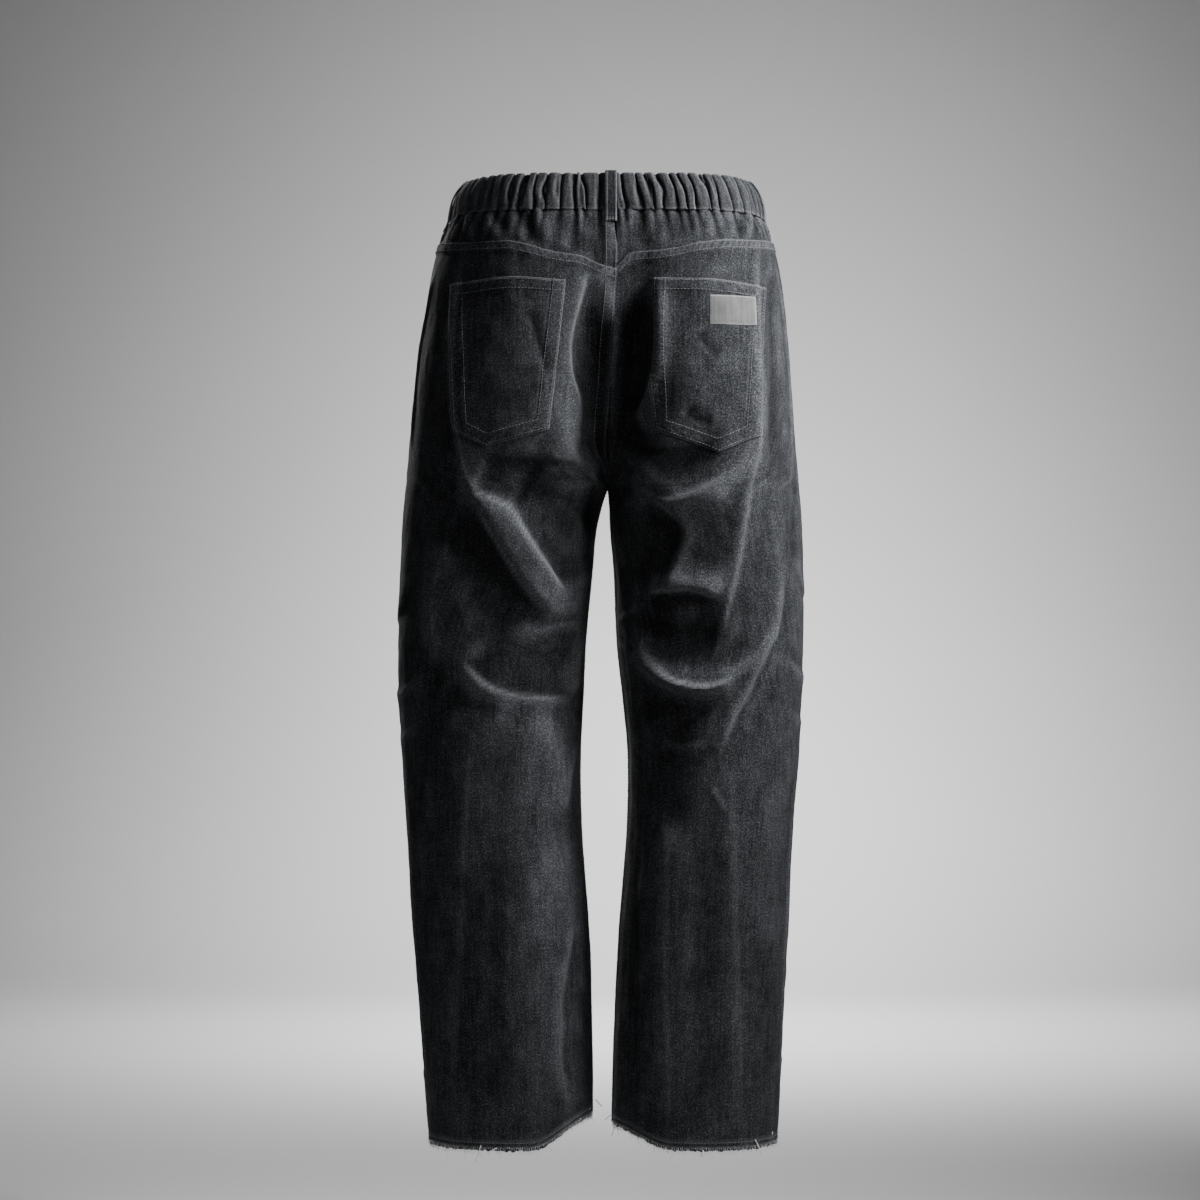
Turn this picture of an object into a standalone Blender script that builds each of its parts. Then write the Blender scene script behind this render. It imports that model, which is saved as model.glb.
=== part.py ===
"""Elastic waist jeans in their worn, hollow form, held at the waist.

Lengths are in millimetres in the tables and functions, and become metres when a mesh is made.
+Z is up, +X is the wearer's left, and the back of the jeans faces +Y. The origin is the centre of the
waistband, half way up it. Each side of the jeans is one skin, made of level sections that run from the
centre back round the outside to the centre front, or from inseam to inseam round a leg. A place on the
skin is its share of the way round (0 to 1) and its level. The panels, yokes and waistband are walls cut
from that skin, and what is sewn on them is made from the same skin, moved out.
"""

import math
import random

import bmesh
import bpy
import numpy as np

MM = 0.001

# Driving sizes
CLOTH = 1.6  # wall of the denim
SEAM_GAP = 0.3  # between two pieces that are sewn together
BAND_GAP = 0.6  # below the waistband, whose bottom edge slopes with the skin
POCKET_CLOTH = 1.3
PATCH_CLOTH = 1.0
BAND_TOP = 18.0
BAND_BOTTOM = -18.0
CROTCH = -290.0
CROTCH_DEPTH = 4.0  # how far back of the centre the crotch point lies
HEM = -960.0
HEM_RISE = {"left": 27.0, "right": 18.0}  # the hem is higher at the inseam
HEM_RISE_WIDTH = 62.0
HEM_BLEND_FROM = -540.0  # below this level the rows bend towards the line of the hem
SEAT_CURVE = 112.0  # height of the seat seam's curve above the crotch point
FLY_CURVE = 96.0  # the same for the centre front seam
SIDE_SEAM_FORWARD = 12.0  # the side seam lies this far forward of the widest line
YOKE_CENTRE = -76.0
YOKE_SIDE = -42.0
YOKE_BEND = 2.1
TILT_SLOPE = 0.07  # the waist is higher at the back than at the front
TILT_SAG = 0.0004

# Gathers of the elastic waistband
GATHERS = 36  # on each half of the band
GATHER_CREST = 1.3
GATHER_VALLEY = -1.1
BAND_INSIDE = 2.9  # from the skin in to the plain inside of the band
GATHER_WIDTHS = (0.75, 1.25)  # against the mean width
GATHER_SHAPE = (0.3, 0.74)  # the flat crest of a gather, as shares of its width
GATHER_ROWS = (  # level, share of the gather's height
    (BAND_TOP, 0.55),
    (BAND_TOP - 5.0, 1.0),
    (BAND_BOTTOM + 4.0, 1.0),
    (BAND_BOTTOM, 0.45),
)

# Belt loops
LOOP_WIDTH = 12.0
LOOP_CLOTH = 1.5
LOOP_BELOW_BAND = 13.0
BACK_LOOP_X = -3.0
LOOPS = {  # name: side, share of the way round
    "belt_loop_back": ("left", 0.0),
    "belt_loop_side_left": ("left", 0.475),
    "belt_loop_side_right": ("right", 0.475),
    "belt_loop_front_left": ("left", 0.82),
    "belt_loop_front_right": ("right", 0.82),
}

# Raw hem
FRAY_HEIGHT = 3.5
THREADS = 18  # loose threads at each hem
THREAD_LENGTHS = (3.0, 15.0)
THREAD_WIDTH = 0.9
THREAD_STATIONS = ((0.0, 1.0), (0.5, 0.85), (1.0, 0.6))  # share of its length, share of its width
RAGGED = 1.6  # how unevenly the strip ends

# One row for each level section. Widths are from the centre plane, for the wearer's left and right side:
# out is the widest point and in is the inner side of the leg. back and front are the depths of the fullest
# points, and back_at and front_at their distances from the centre plane. seat and belly are the depths on
# the centre plane, before the curve under the crotch.
SECTION_COLUMNS = (
    "level", "out_left", "out_right", "in_left", "in_right",
    "back", "back_at", "seat", "front", "front_at", "belly",
)
SECTIONS = (
    (24, 139.0, 141.5, 0.0, 0.0, 96, 52, 97, -92, 48, -93),
    (8, 153.0, 153.0, 0.0, 0.0, 102, 55, 102, -97, 50, -98),
    (-20, 162.5, 160.5, 0.0, 0.0, 108, 60, 106, -101, 52, -102),
    (-45, 174.5, 170.0, 0.0, 0.0, 115, 66, 109, -107, 56, -107),
    (-80, 183.0, 178.0, 0.0, 0.0, 123, 72, 111, -113, 62, -112),
    (-120, 188.5, 183.0, 0.0, 0.0, 130, 78, 110, -118, 70, -115),
    (-170, 195.5, 187.5, 0.0, 0.0, 134, 84, 102, -122, 80, -115),
    (-220, 201.0, 191.0, 0.0, 0.0, 132, 90, 96, -123, 88, -110),
    (-260, 204.5, 194.5, 0.0, 0.0, 126, 95, 93, -122, 94, -106),
    (-290, 207.0, 197.5, 0.0, 0.0, 121, 99, 92, -121, 98, -104),
    (-300, 208.0, 198.5, 3.5, 1.5, 119, 100, 92, -120, 99, -104),
    (-330, 211.0, 200.5, 11.5, 3.0, 113, 104, 92, -118, 102, -104),
    (-380, 214.0, 202.0, 16.5, 7.0, 103, 110, 92, -115, 107, -104),
    (-440, 216.0, 202.5, 22.5, 9.5, 93, 115, 92, -112, 111, -104),
    (-500, 216.0, 200.5, 25.5, 15.5, 86, 117, 92, -108, 112, -104),
    (-560, 213.5, 197.0, 28.5, 21.0, 84, 116, 92, -104, 111, -104),
    (-640, 208.0, 191.5, 27.5, 20.5, 84, 113, 92, -98, 108, -104),
    (-740, 201.0, 186.5, 20.5, 13.0, 84, 107, 92, -91, 103, -104),
    (-840, 193.5, 180.5, 17.0, 7.5, 82, 102, 92, -84, 99, -104),
    (-975, 183.0, 174.0, 16.0, 4.0, 79, 97, 92, -76, 95, -104),
)
INSEAM_DEPTH = ((-290, 4.0), (-440, -4.0), (-640, -6.0), (-975, 2.0))
SIDE_DEPTH = ((24, 0.0), (-290, -2.0), (-640, -8.0), (-975, 2.0))

# How far the centre back seam leans to the wearer's right of the centre plane, by level
SEAM_LEAN = ((24, -3.0), (-18, -8.0), (-80, -9.0), (-125, -6.0), (-290, 0.0))

# The largest folds, as soft ridges (height above 0) and troughs along a bowed line, seen on the back or the
# front: from one end to the other, x is the distance from the centre plane, towards that side.
FOLD_COLUMNS = ("side", "face", "x0", "z0", "x1", "z1", "bow", "width", "height")
FOLDS = (
    # behind the wearer's left knee: a hollow over a sagging ridge
    ("left", "back", 152, -466, 28, -492, -16, 13, 7.5),
    ("left", "back", 138, -432, 34, -462, -14, 18, -8.5),
    # from the seat down across the thigh to the inner knee
    ("left", "back", 134, -290, 44, -420, 5, 16, 8.0),
    ("left", "back", 154, -340, 96, -440, 4, 20, -7.0),
    ("left", "back", 96, -268, 26, -352, 4, 20, -5.0),
    # the pressed ridge down the outer side of the left leg
    ("left", "back", 153, -100, 140, -300, -4, 13, 3.0),
    ("left", "back", 170, -350, 170, -476, -9, 14, 4.0),
    # behind the wearer's right knee
    ("right", "back", 28, -450, 148, -466, 30, 13, 8.5),
    ("right", "back", 34, -428, 112, -424, 12, 19, -9.5),
    ("right", "back", 44, -392, 118, -400, -4, 13, 4.5),
    # across the right thigh, under the seat
    ("right", "back", 16, -262, 150, -256, 42, 16, 7.0),
    ("right", "back", 18, -246, 112, -252, 16, 17, -6.0),
    # the pressed ridge down the outer side of the right leg
    ("right", "back", 150, -170, 112, -420, -12, 13, 4.0),
    ("right", "back", 170, -440, 112, -556, -3, 14, 3.5),
    ("right", "back", 170, -95, 192, -360, 5, 12, -3.5),
    # on each side of the hollow between the seat's halves
    ("left", "back", 28, -88, 20, -240, -17, 12, 5.0),
    ("right", "back", 46, -90, 26, -240, -10, 12, 4.5),
    ("left", "back", 17, -130, 10, -275, -5, 13, -6.0),
    ("right", "back", 22, -110, 12, -275, -5, 15, -6.0),
    ("left", "back", 18, -78, 5, -128, 0, 10, 4.0),
    # below the knees
    ("left", "back", 76, -520, 40, -620, 6, 20, 4.0),
    ("right", "back", 72, -520, 58, -640, 0, 20, -3.0),
    ("right", "back", 70, -610, 60, -900, 4, 28, 3.0),
    ("left", "back", 60, -640, 64, -920, -4, 30, 3.0),
    # on the front, from the hip towards the knee and above the hem
    ("left", "front", 150, -120, 60, -250, 12, 20, 4.5),
    ("right", "front", 146, -120, 58, -250, 12, 20, 4.5),
    ("left", "front", 30, -300, 130, -420, -10, 20, 4.5),
    ("right", "front", 24, -296, 128, -410, -10, 20, 4.5),
    ("left", "front", 60, -500, 170, -540, 10, 20, -5.0),
    ("right", "front", 52, -490, 160, -536, 10, 20, -5.0),
    ("left", "front", 120, -640, 108, -900, 5, 28, 4.0),
    ("right", "front", 112, -640, 96, -900, 5, 28, 4.0),
)
FOLD_FACING = (0.12, 0.6)  # a fold fades out where the cloth turns away from its face
INSEAM_CALM = 32.0  # and dies out this near to the inseam
FOLD_RUN_OUT = 0.12  # share of its length that a fold runs past its ends
FOLD_END = 0.34  # share of its length over which it rises from nothing

# Grid of the panels: rows from the top seam to the crotch, then (from, to, rows) down the leg
UPPER_ROWS = 12
LEG_ROWS = ((-290, -390, 7), (-390, -520, 12), (-520, -960, 11))
YOKE_ROWS = 2
BACK_COLUMNS = 18
FRONT_COLUMNS = 9

# Back pockets, as outlines seen from the back: x is the distance from the centre plane
POCKET_COLUMNS = ("corner", "left_x", "left_z", "right_x", "right_z")
POCKETS = (
    ("inner top", 42, -88, 45, -86),
    ("outer top", 158, -90, 160, -93),
    ("outer low", 152, -238, 149, -242),
    ("point", 122, -254, 110, -260),
    ("inner low", 59, -237, 46, -237),
)
PATCH_X = (101.0, 146.0)
PATCH_Z = (-133.0, -104.0)

LEAN_DEPTH = 80.0  # the lean grows from nothing at the sides to its full size this far back
CUTTER_DEPTH = (8.0, 240.0)  # from behind the centre plane to clear of the back
FRAME_STEPS = 241
ROUND_STEPS = 160
DOWN = np.array([0.0, 0.0, -1.0])
ARC_HANDLE = 0.5523  # of a quarter ellipse drawn as one Bezier piece
FULLNESS = 1.06  # the cloth stands out a little more than an ellipse


def smoothstep(value):
    """0 to 1 with flat ends."""
    t = np.clip(value, 0.0, 1.0)
    return t * t * (3 - 2 * t)


def curve_through(levels, values, at):
    """Cubic curve through a table's points, read at some levels."""
    order = np.argsort(levels)
    x, y = np.asarray(levels, float)[order], np.asarray(values, float)[order]
    slopes = np.gradient(y, x)
    at = np.clip(at, x[0], x[-1])
    i = np.clip(np.searchsorted(x, at) - 1, 0, len(x) - 2)
    h = x[i + 1] - x[i]
    t = (at - x[i]) / h
    return (
        y[i] * (1 + 2 * t) * (1 - t) ** 2
        + slopes[i] * h * t * (1 - t) ** 2
        + y[i + 1] * t * t * (3 - 2 * t)
        + slopes[i + 1] * h * t * t * (t - 1)
    )


def column(name, at):
    """A named column of the sections, read at some levels."""
    index = SECTION_COLUMNS.index(name)
    return curve_through([row[0] for row in SECTIONS], [row[index] for row in SECTIONS], at)


def bezier(p0, p1, p2, p3, t):
    """Points of a cubic Bezier piece."""
    t = t[:, None]
    return (1 - t) ** 3 * p0 + 3 * t * (1 - t) ** 2 * p1 + 3 * t * t * (1 - t) * p2 + t**3 * p3


def section_points(side, level):
    """One level section, as points from the centre back (or inseam) round the side to the centre front."""
    above = level > CROTCH
    back, front = column("back", level), column("front", level)
    x_back, x_front = column("back_at", level), column("front_at", level)
    x_out = column("out_" + side, level)
    x_in = 0.0 if above else max(column("in_" + side, level), 0.2)
    y_side = curve_through(*zip(*SIDE_DEPTH), level)
    if above:
        seat_up = min((level - CROTCH) / SEAT_CURVE, 1.0)
        fly_up = min((level - CROTCH) / FLY_CURVE, 1.0)
        seat_round = math.sqrt(1 - (1 - seat_up) ** 2)
        fly_round = math.sqrt(1 - (1 - fly_up) ** 2)
        y_seat = CROTCH_DEPTH + (column("seat", level) - CROTCH_DEPTH) * seat_round
        y_fly = CROTCH_DEPTH + (column("belly", level) - CROTCH_DEPTH) * fly_round
        turn_back = math.pi / 2 * (1 - seat_up) ** 1.5
        turn_front = math.pi / 2 * (1 - fly_up) ** 1.5
    else:
        y_seat = y_fly = float(curve_through(*zip(*INSEAM_DEPTH), level))
        turn_back = turn_front = math.pi / 2
    seat, fly = np.array([x_in, y_seat]), np.array([x_in, y_fly])
    fullest_back, fullest_front = np.array([x_back, back]), np.array([x_front, front])
    widest = np.array([x_out, y_side])
    reach = ARC_HANDLE * FULLNESS
    steps = np.linspace(0, 1, ROUND_STEPS // 4 + 1)
    x_axis, y_axis = np.array([1.0, 0.0]), np.array([0.0, 1.0])

    def inner_piece(start, end, turn, outward):
        """From the centre plane or inseam to the fullest point of the back or the front."""
        dx, dy = abs(end[0] - start[0]), abs(end[1] - start[1])
        lead = x_axis * math.cos(turn) + outward * math.sin(turn)
        first = reach * (math.cos(turn) * dx + math.sin(turn) * dy)
        return bezier(start, start + lead * first, end - x_axis * reach * dx, end, steps)

    def outer_piece(start, end):
        """From the fullest point to the widest."""
        dx, dy = end[0] - start[0], end[1] - start[1]
        return bezier(start, start + x_axis * reach * dx, end - y_axis * reach * dy, end, steps)

    pieces = [
        inner_piece(seat, fullest_back, turn_back, y_axis),
        outer_piece(fullest_back, widest)[1:],
        outer_piece(fullest_front, widest)[::-1][1:],
        inner_piece(fly, fullest_front, turn_front, -y_axis)[::-1][1:],
    ]
    return np.concatenate(pieces)


class Skin:
    """One side of the jeans as a table of points by level and share of the way round."""

    def __init__(self, side):
        self.side = side
        self.sign = 1.0 if side == "left" else -1.0
        self.levels = np.linspace(SECTIONS[-1][0], SECTIONS[0][0], FRAME_STEPS)
        shares = np.linspace(0, 1, ROUND_STEPS + 1)
        self.table = np.zeros((FRAME_STEPS, ROUND_STEPS + 1, 2))
        self.around = np.zeros(FRAME_STEPS)
        self.widest = np.zeros(FRAME_STEPS)
        for k, level in enumerate(self.levels):
            points = section_points(side, level)
            lengths = np.concatenate([[0], np.cumsum(np.linalg.norm(np.diff(points, axis=0), axis=1))])
            self.around[k] = lengths[-1]
            self.widest[k] = lengths[ROUND_STEPS // 4 * 2] / lengths[-1]
            for axis in range(2):
                self.table[k, :, axis] = np.interp(shares * lengths[-1], lengths, points[:, axis])

    def length_around(self, level):
        """Length of the half section at a level."""
        return np.interp(level, self.levels, self.around)

    def side_seam(self, level):
        """Share of the way round at which the side seam lies."""
        return np.interp(level, self.levels, self.widest) + SIDE_SEAM_FORWARD / self.length_around(level)

    def flat_point(self, share, level):
        """Points of the skin before its folds."""
        share, level = np.broadcast_arrays(np.asarray(share, float), np.asarray(level, float))
        share = np.where(level < CROTCH, share % 1.0, np.clip(share, 0, 1))
        across = share * ROUND_STEPS
        up = (np.clip(level, self.levels[0], self.levels[-1]) - self.levels[0])
        up = up / (self.levels[1] - self.levels[0])
        i = np.clip(across.astype(int), 0, ROUND_STEPS - 1)
        k = np.clip(up.astype(int), 0, FRAME_STEPS - 2)
        u, v = (across - i)[..., None], (up - k)[..., None]
        flat = (self.table[k, i] * (1 - u) + self.table[k, i + 1] * u) * (1 - v) + (
            self.table[k + 1, i] * (1 - u) + self.table[k + 1, i + 1] * u
        ) * v
        x, y = flat[..., 0], flat[..., 1]
        tilt = (TILT_SLOPE * y - TILT_SAG * y * y) * smoothstep((level + 200.0) / 180.0)
        return np.stack([x, y, level + tilt], axis=-1)

    def normal(self, point_at, share, level):
        """Outward direction of a skin function, by small steps across and down."""
        step, drop = 0.006, 3.0
        low = np.where(level < CROTCH, share - step, np.clip(share - step, 0, 1))
        high = np.where(level < CROTCH, share + step, np.clip(share + step, 0, 1))
        across = point_at(high, level) - point_at(low, level)
        # a step up or down never passes the crotch, where the sections open
        down_to = np.where((level > CROTCH) & (level - drop < CROTCH), level, level - drop)
        up_to = np.where((level < CROTCH) & (level + drop > CROTCH), level, level + drop)
        up = point_at(share, up_to) - point_at(share, down_to)
        out = np.cross(across, up)
        return -out / np.linalg.norm(out, axis=-1, keepdims=True)

    def fold_height(self, point, out, share, level):
        """How far the folds move a place out of the plain skin."""
        height = np.zeros(point.shape[:-1])
        from_inseam = np.minimum(share, 1 - share) * self.length_around(level)
        on_leg = smoothstep((CROTCH + INSEAM_CALM - level) / INSEAM_CALM)
        calm = 1 - on_leg * (1 - smoothstep(from_inseam / INSEAM_CALM))
        for row in FOLDS:
            fold = dict(zip(FOLD_COLUMNS, row))
            if fold["side"] != self.side:
                continue
            faces = out[..., 1] if fold["face"] == "back" else -out[..., 1]
            facing = smoothstep((faces - FOLD_FACING[0]) / FOLD_FACING[1]) * calm
            line = np.array([fold["x1"] - fold["x0"], fold["z1"] - fold["z0"]], float)
            length = math.hypot(*line)
            dx, dz = point[..., 0] - fold["x0"], point[..., 2] - fold["z0"]
            along = (dx * line[0] + dz * line[1]) / length**2
            beside = (dx * line[1] - dz * line[0]) / length
            beside = beside - fold["bow"] * 4 * along * (1 - along)
            ends = smoothstep((along + FOLD_RUN_OUT) / FOLD_END)
            ends = ends * smoothstep((1 + FOLD_RUN_OUT - along) / FOLD_END)
            height += fold["height"] * facing * ends * np.exp(-((beside / fold["width"]) ** 2))
        return height

    def folded_point(self, share, level):
        """Points of the skin with its folds, before the side is mirrored."""
        share, level = np.broadcast_arrays(np.asarray(share, float), np.asarray(level, float))
        flat = self.flat_point(share, level)
        out = self.normal(self.flat_point, share, level)
        return flat + out * self.fold_height(flat, out, share, level)[..., None]

    def wall_points(self, share, level, lift):
        """Points at some height over the folded skin, in their place. A negative lift goes into the wall."""
        share, level = np.broadcast_arrays(np.asarray(share, float), np.asarray(level, float))
        out = self.normal(self.folded_point, share, level)
        point = self.folded_point(share, level) + out * np.asarray(lift)[..., None]
        centre_gap = SEAM_GAP / 2
        point[..., 0] = np.where(level > CROTCH - 2.0, np.maximum(point[..., 0], centre_gap), point[..., 0])
        inner = np.clip(1 - (point[..., 0] / column("out_" + self.side, level)) ** 2, 0, 1)
        lean = curve_through(*zip(*SEAM_LEAN), level) * inner * smoothstep(point[..., 1] / LEAN_DEPTH)
        point = point * np.array([self.sign, 1.0, 1.0])
        point[..., 0] += np.where(level > CROTCH, lean, 0.0)
        return point


def yoke_seam(part_round):
    """Level of the yoke seam, from the centre back (0) to the side seam (1)."""
    return YOKE_CENTRE + (YOKE_SIDE - YOKE_CENTRE) * (1 - (1 - part_round) ** YOKE_BEND)


def hem_level(skin, share):
    """Level of the raw edge, higher at the inseam."""
    x = skin.flat_point(share, HEM)[..., 0]
    inner = skin.flat_point(0.0, HEM)[..., 0]
    return HEM + HEM_RISE[skin.side] * (1 - smoothstep((x - inner) / HEM_RISE_WIDTH))


def panel_levels(skin, face, parts, shares):
    """Levels of a leg panel's grid. Its rows lie closer together towards the crotch."""
    rows = []
    if face == "back":
        start = yoke_seam(parts) - SEAM_GAP / 2
    else:
        top = BAND_BOTTOM - BAND_GAP
        start = np.full(parts.shape, YOKE_SIDE)
        rows = [top + (start - top) * k / YOKE_ROWS for k in range(YOKE_ROWS)]
    towards_side = smoothstep(parts / 0.5)
    for k in range(UPPER_ROWS + 1):
        even = k / UPPER_ROWS
        down = math.sin(math.pi / 2 * even) * (1 - towards_side) + even * towards_side
        rows.append(start + (CROTCH - start) * down)
    hem = hem_level(skin, shares)
    for first, last, count in LEG_ROWS:
        for k in range(1, count + 1):
            level = first + (last - first) * k / count
            near_hem = smoothstep((HEM_BLEND_FROM - level) / (HEM_BLEND_FROM - HEM))
            rows.append(level + (hem - HEM) * near_hem)
    return np.array(rows)


def panel_grid(skin, face):
    """Shares and levels of a leg panel's grid, from its top seam to its hem."""
    columns = BACK_COLUMNS if face == "back" else FRONT_COLUMNS
    parts = np.linspace(0, 1, columns + 1)  # from the centre or inseam to the side seam
    seam_at_hem = float(skin.side_seam(HEM))
    shares = parts * seam_at_hem if face == "back" else 1 - parts * (1 - seam_at_hem)
    levels = panel_levels(skin, face, parts, shares)
    return share_grid(skin, face, parts, levels), levels


def share_grid(skin, face, parts, levels):
    """Shares of the way round for a grid, with half a seam gap left at each of its side edges."""
    seam = skin.side_seam(levels)
    margin = SEAM_GAP / 2 / skin.length_around(levels)
    parts = np.broadcast_to(parts, levels.shape)
    if face == "back":
        return margin + parts * (seam - 2 * margin)
    return 1 - margin - parts * (1 - seam - 2 * margin)


def mesh_object(name, points, faces, collection, material):
    """A mesh object from points in millimetres, with its faces turned outwards."""
    mesh = bpy.data.meshes.new(name)
    mesh.from_pydata([tuple(p) for p in np.asarray(points) * MM], [], faces)
    builder = bmesh.new()
    builder.from_mesh(mesh)
    bmesh.ops.recalc_face_normals(builder, faces=builder.faces)
    builder.to_mesh(mesh)
    builder.free()
    mesh.shade_smooth()
    mesh.set_sharp_from_angle(angle=math.radians(40))
    mesh.materials.append(material)
    obj = bpy.data.objects.new(name, mesh)
    collection.objects.link(obj)
    return obj


def wall_faces(rows, columns, closed=False):
    """Faces of a wall made of an outer and an inner grid, closed at its rims. The grid may close on itself.

    Its quads are split along the same diagonal on every wall, so that one wall lies flush over another.
    """
    inner = rows * columns
    faces = []
    spans = columns if closed else columns - 1
    for r in range(rows - 1):
        for c in range(spans):
            d = (c + 1) % columns
            a, b, e, f = r * columns + c, r * columns + d, (r + 1) * columns + d, (r + 1) * columns + c
            faces += [(a, b, e), (a, e, f)]
            faces += [(inner + a, inner + e, inner + b), (inner + a, inner + f, inner + e)]
    for c in range(spans):
        d = (c + 1) % columns
        last = (rows - 1) * columns
        faces.append((c, inner + c, inner + d, d))
        faces.append((last + c, last + d, inner + last + d, inner + last + c))
    if not closed:
        for r in range(rows - 1):
            for c in (0, columns - 1):
                a, b = r * columns + c, (r + 1) * columns + c
                faces.append((a, b, inner + b, inner + a))
    return faces


def wall_object(name, outer, inner, collection, material, closed=False):
    """A closed wall between an outer and an inner grid of points."""
    rows, columns = outer.shape[:2]
    points = np.concatenate([outer.reshape(-1, 3), inner.reshape(-1, 3)])
    return mesh_object(name, points, wall_faces(rows, columns, closed), collection, material)


def add_leg_panel(skin, face, collection, material):
    """Front or back of one leg, up to the waistband or the yoke."""
    shares, levels = panel_grid(skin, face)
    outer = skin.wall_points(shares, levels, 0.0)
    inner = skin.wall_points(shares, levels, -CLOTH)
    return wall_object(f"{face}_leg_{skin.side}", outer, inner, collection, material)


def add_yoke(skin, collection, material):
    """Back yoke, between the waistband and the back of the leg."""
    parts = np.linspace(0, 1, BACK_COLUMNS + 1)
    top = BAND_BOTTOM - BAND_GAP
    low = yoke_seam(parts) + SEAM_GAP / 2
    levels = np.array([top + (low - top) * k / YOKE_ROWS for k in range(YOKE_ROWS + 1)])
    shares = share_grid(skin, "back", parts, levels)
    outer = skin.wall_points(shares, levels, 0.0)
    inner = skin.wall_points(shares, levels, -CLOTH)
    return wall_object(f"back_yoke_{skin.side}", outer, inner, collection, material)


def band_grid(skins, face):
    """Skin, share of the way round and height of the gathers for each column of half the waistband."""
    seed = random.Random(7 if face == "back" else 11)
    columns = []
    for side in ("left", "right"):
        skin = skins[side]
        seam = float(skin.side_seam(0.0))
        margin = SEAM_GAP / 2 / float(skin.length_around(0.0))
        ends = (0.0, seam - margin) if face == "back" else (1.0, seam + margin)
        count = GATHERS // 2
        widths = [seed.uniform(*GATHER_WIDTHS) for _ in range(count)]
        edges = np.concatenate([[0], np.cumsum(widths)]) / sum(widths)
        half = []
        for k in range(count):
            width = edges[k + 1] - edges[k]
            deep = seed.uniform(0.65, 1.0)
            half.append((edges[k], GATHER_VALLEY * deep))
            half.append((edges[k] + GATHER_SHAPE[0] * width, GATHER_CREST))
            half.append((edges[k] + GATHER_SHAPE[1] * width, GATHER_CREST * seed.uniform(0.6, 1.0)))
        half.append((1.0, GATHER_CREST * 0.5))
        # the middle column is shared by both sides
        half = half if side == "left" else half[1:]
        half = [(skin, ends[0] + part * (ends[1] - ends[0]), lift) for part, lift in half]
        columns = half[::-1] + columns if side == "left" else columns + half
    return columns


def add_waistband(skins, face, collection, material):
    """Half of the elastic casing: gathered outside, plain inside."""
    columns = band_grid(skins, face)
    levels, gathered = np.array(GATHER_ROWS).T
    outer = np.zeros((len(levels), len(columns), 3))
    inner = np.zeros_like(outer)
    for c, (skin, share, lift) in enumerate(columns):
        outer[:, c] = skin.wall_points(np.full(len(levels), share), levels, lift * gathered)
        inner[:, c] = skin.wall_points(np.full(len(levels), share), levels, -BAND_INSIDE)
        if share in (0.0, 1.0):
            inner[:, c, 0] = outer[:, c, 0]
    return wall_object(f"waistband_{face}", outer, inner, collection, material)


def pocket_outline(side):
    """Corners of a back pocket seen from the back, as (x, z)."""
    x, z = POCKET_COLUMNS.index(side + "_x"), POCKET_COLUMNS.index(side + "_z")
    sign = 1 if side == "left" else -1
    return [(sign * row[x], row[z]) for row in POCKETS]


def moved_out_skin(name, skin, lift, thickness, collection, material):
    """The outer face of a back panel, moved out and made a wall. An outline is then cut from it."""
    shares, levels = panel_grid(skin, "back")
    rows = [r for r in range(len(levels)) if levels[r].max() > CROTCH + 4.0]
    shares, levels = shares[rows], levels[rows]
    inner = skin.wall_points(shares, levels, lift)
    outer = skin.wall_points(shares, levels, lift + thickness)
    return wall_object(name, outer, inner, collection, material)


def outline_cutter(name, outline, collection, material):
    """A prism with a flat outline, seen from the back, that runs through the back of the jeans only."""
    near, far = CUTTER_DEPTH
    count = len(outline)
    points = [(x, near, z) for x, z in outline] + [(x, far, z) for x, z in outline]
    faces = [tuple(range(count)), tuple(range(count, 2 * count))]
    faces += [(k, (k + 1) % count, count + (k + 1) % count, count + k) for k in range(count)]
    cutter = mesh_object(name, points, faces, collection, material)
    cutter.hide_render = True
    cutter.display_type = "WIRE"
    return cutter


def cut_to(obj, cutter):
    """Keeps what lies inside the cutter."""
    modifier = obj.modifiers.new("outline", "BOOLEAN")
    modifier.operation = "INTERSECT"
    modifier.solver = "EXACT"
    modifier.object = cutter


def add_pocket(skin, collection, cutters, material):
    """A back pocket, laid on the back of the leg."""
    name = f"back_pocket_{skin.side}"
    obj = moved_out_skin(name, skin, SEAM_GAP, POCKET_CLOTH, collection, material)
    cut_to(obj, outline_cutter(name + "_outline", pocket_outline(skin.side), cutters, material))
    return obj


def add_patch(skin, collection, cutters, material):
    """The plain patch on a back pocket, below its mouth."""
    lift = SEAM_GAP + POCKET_CLOTH + SEAM_GAP
    obj = moved_out_skin("pocket_patch", skin, lift, PATCH_CLOTH, collection, material)
    near, far = PATCH_X
    low, high = PATCH_Z
    corners = ((near, high), (far, high), (far, low), (near, low))
    outline = [(skin.sign * x, z) for x, z in corners]
    cut_to(obj, outline_cutter("pocket_patch_outline", outline, cutters, material))
    return obj


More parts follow.
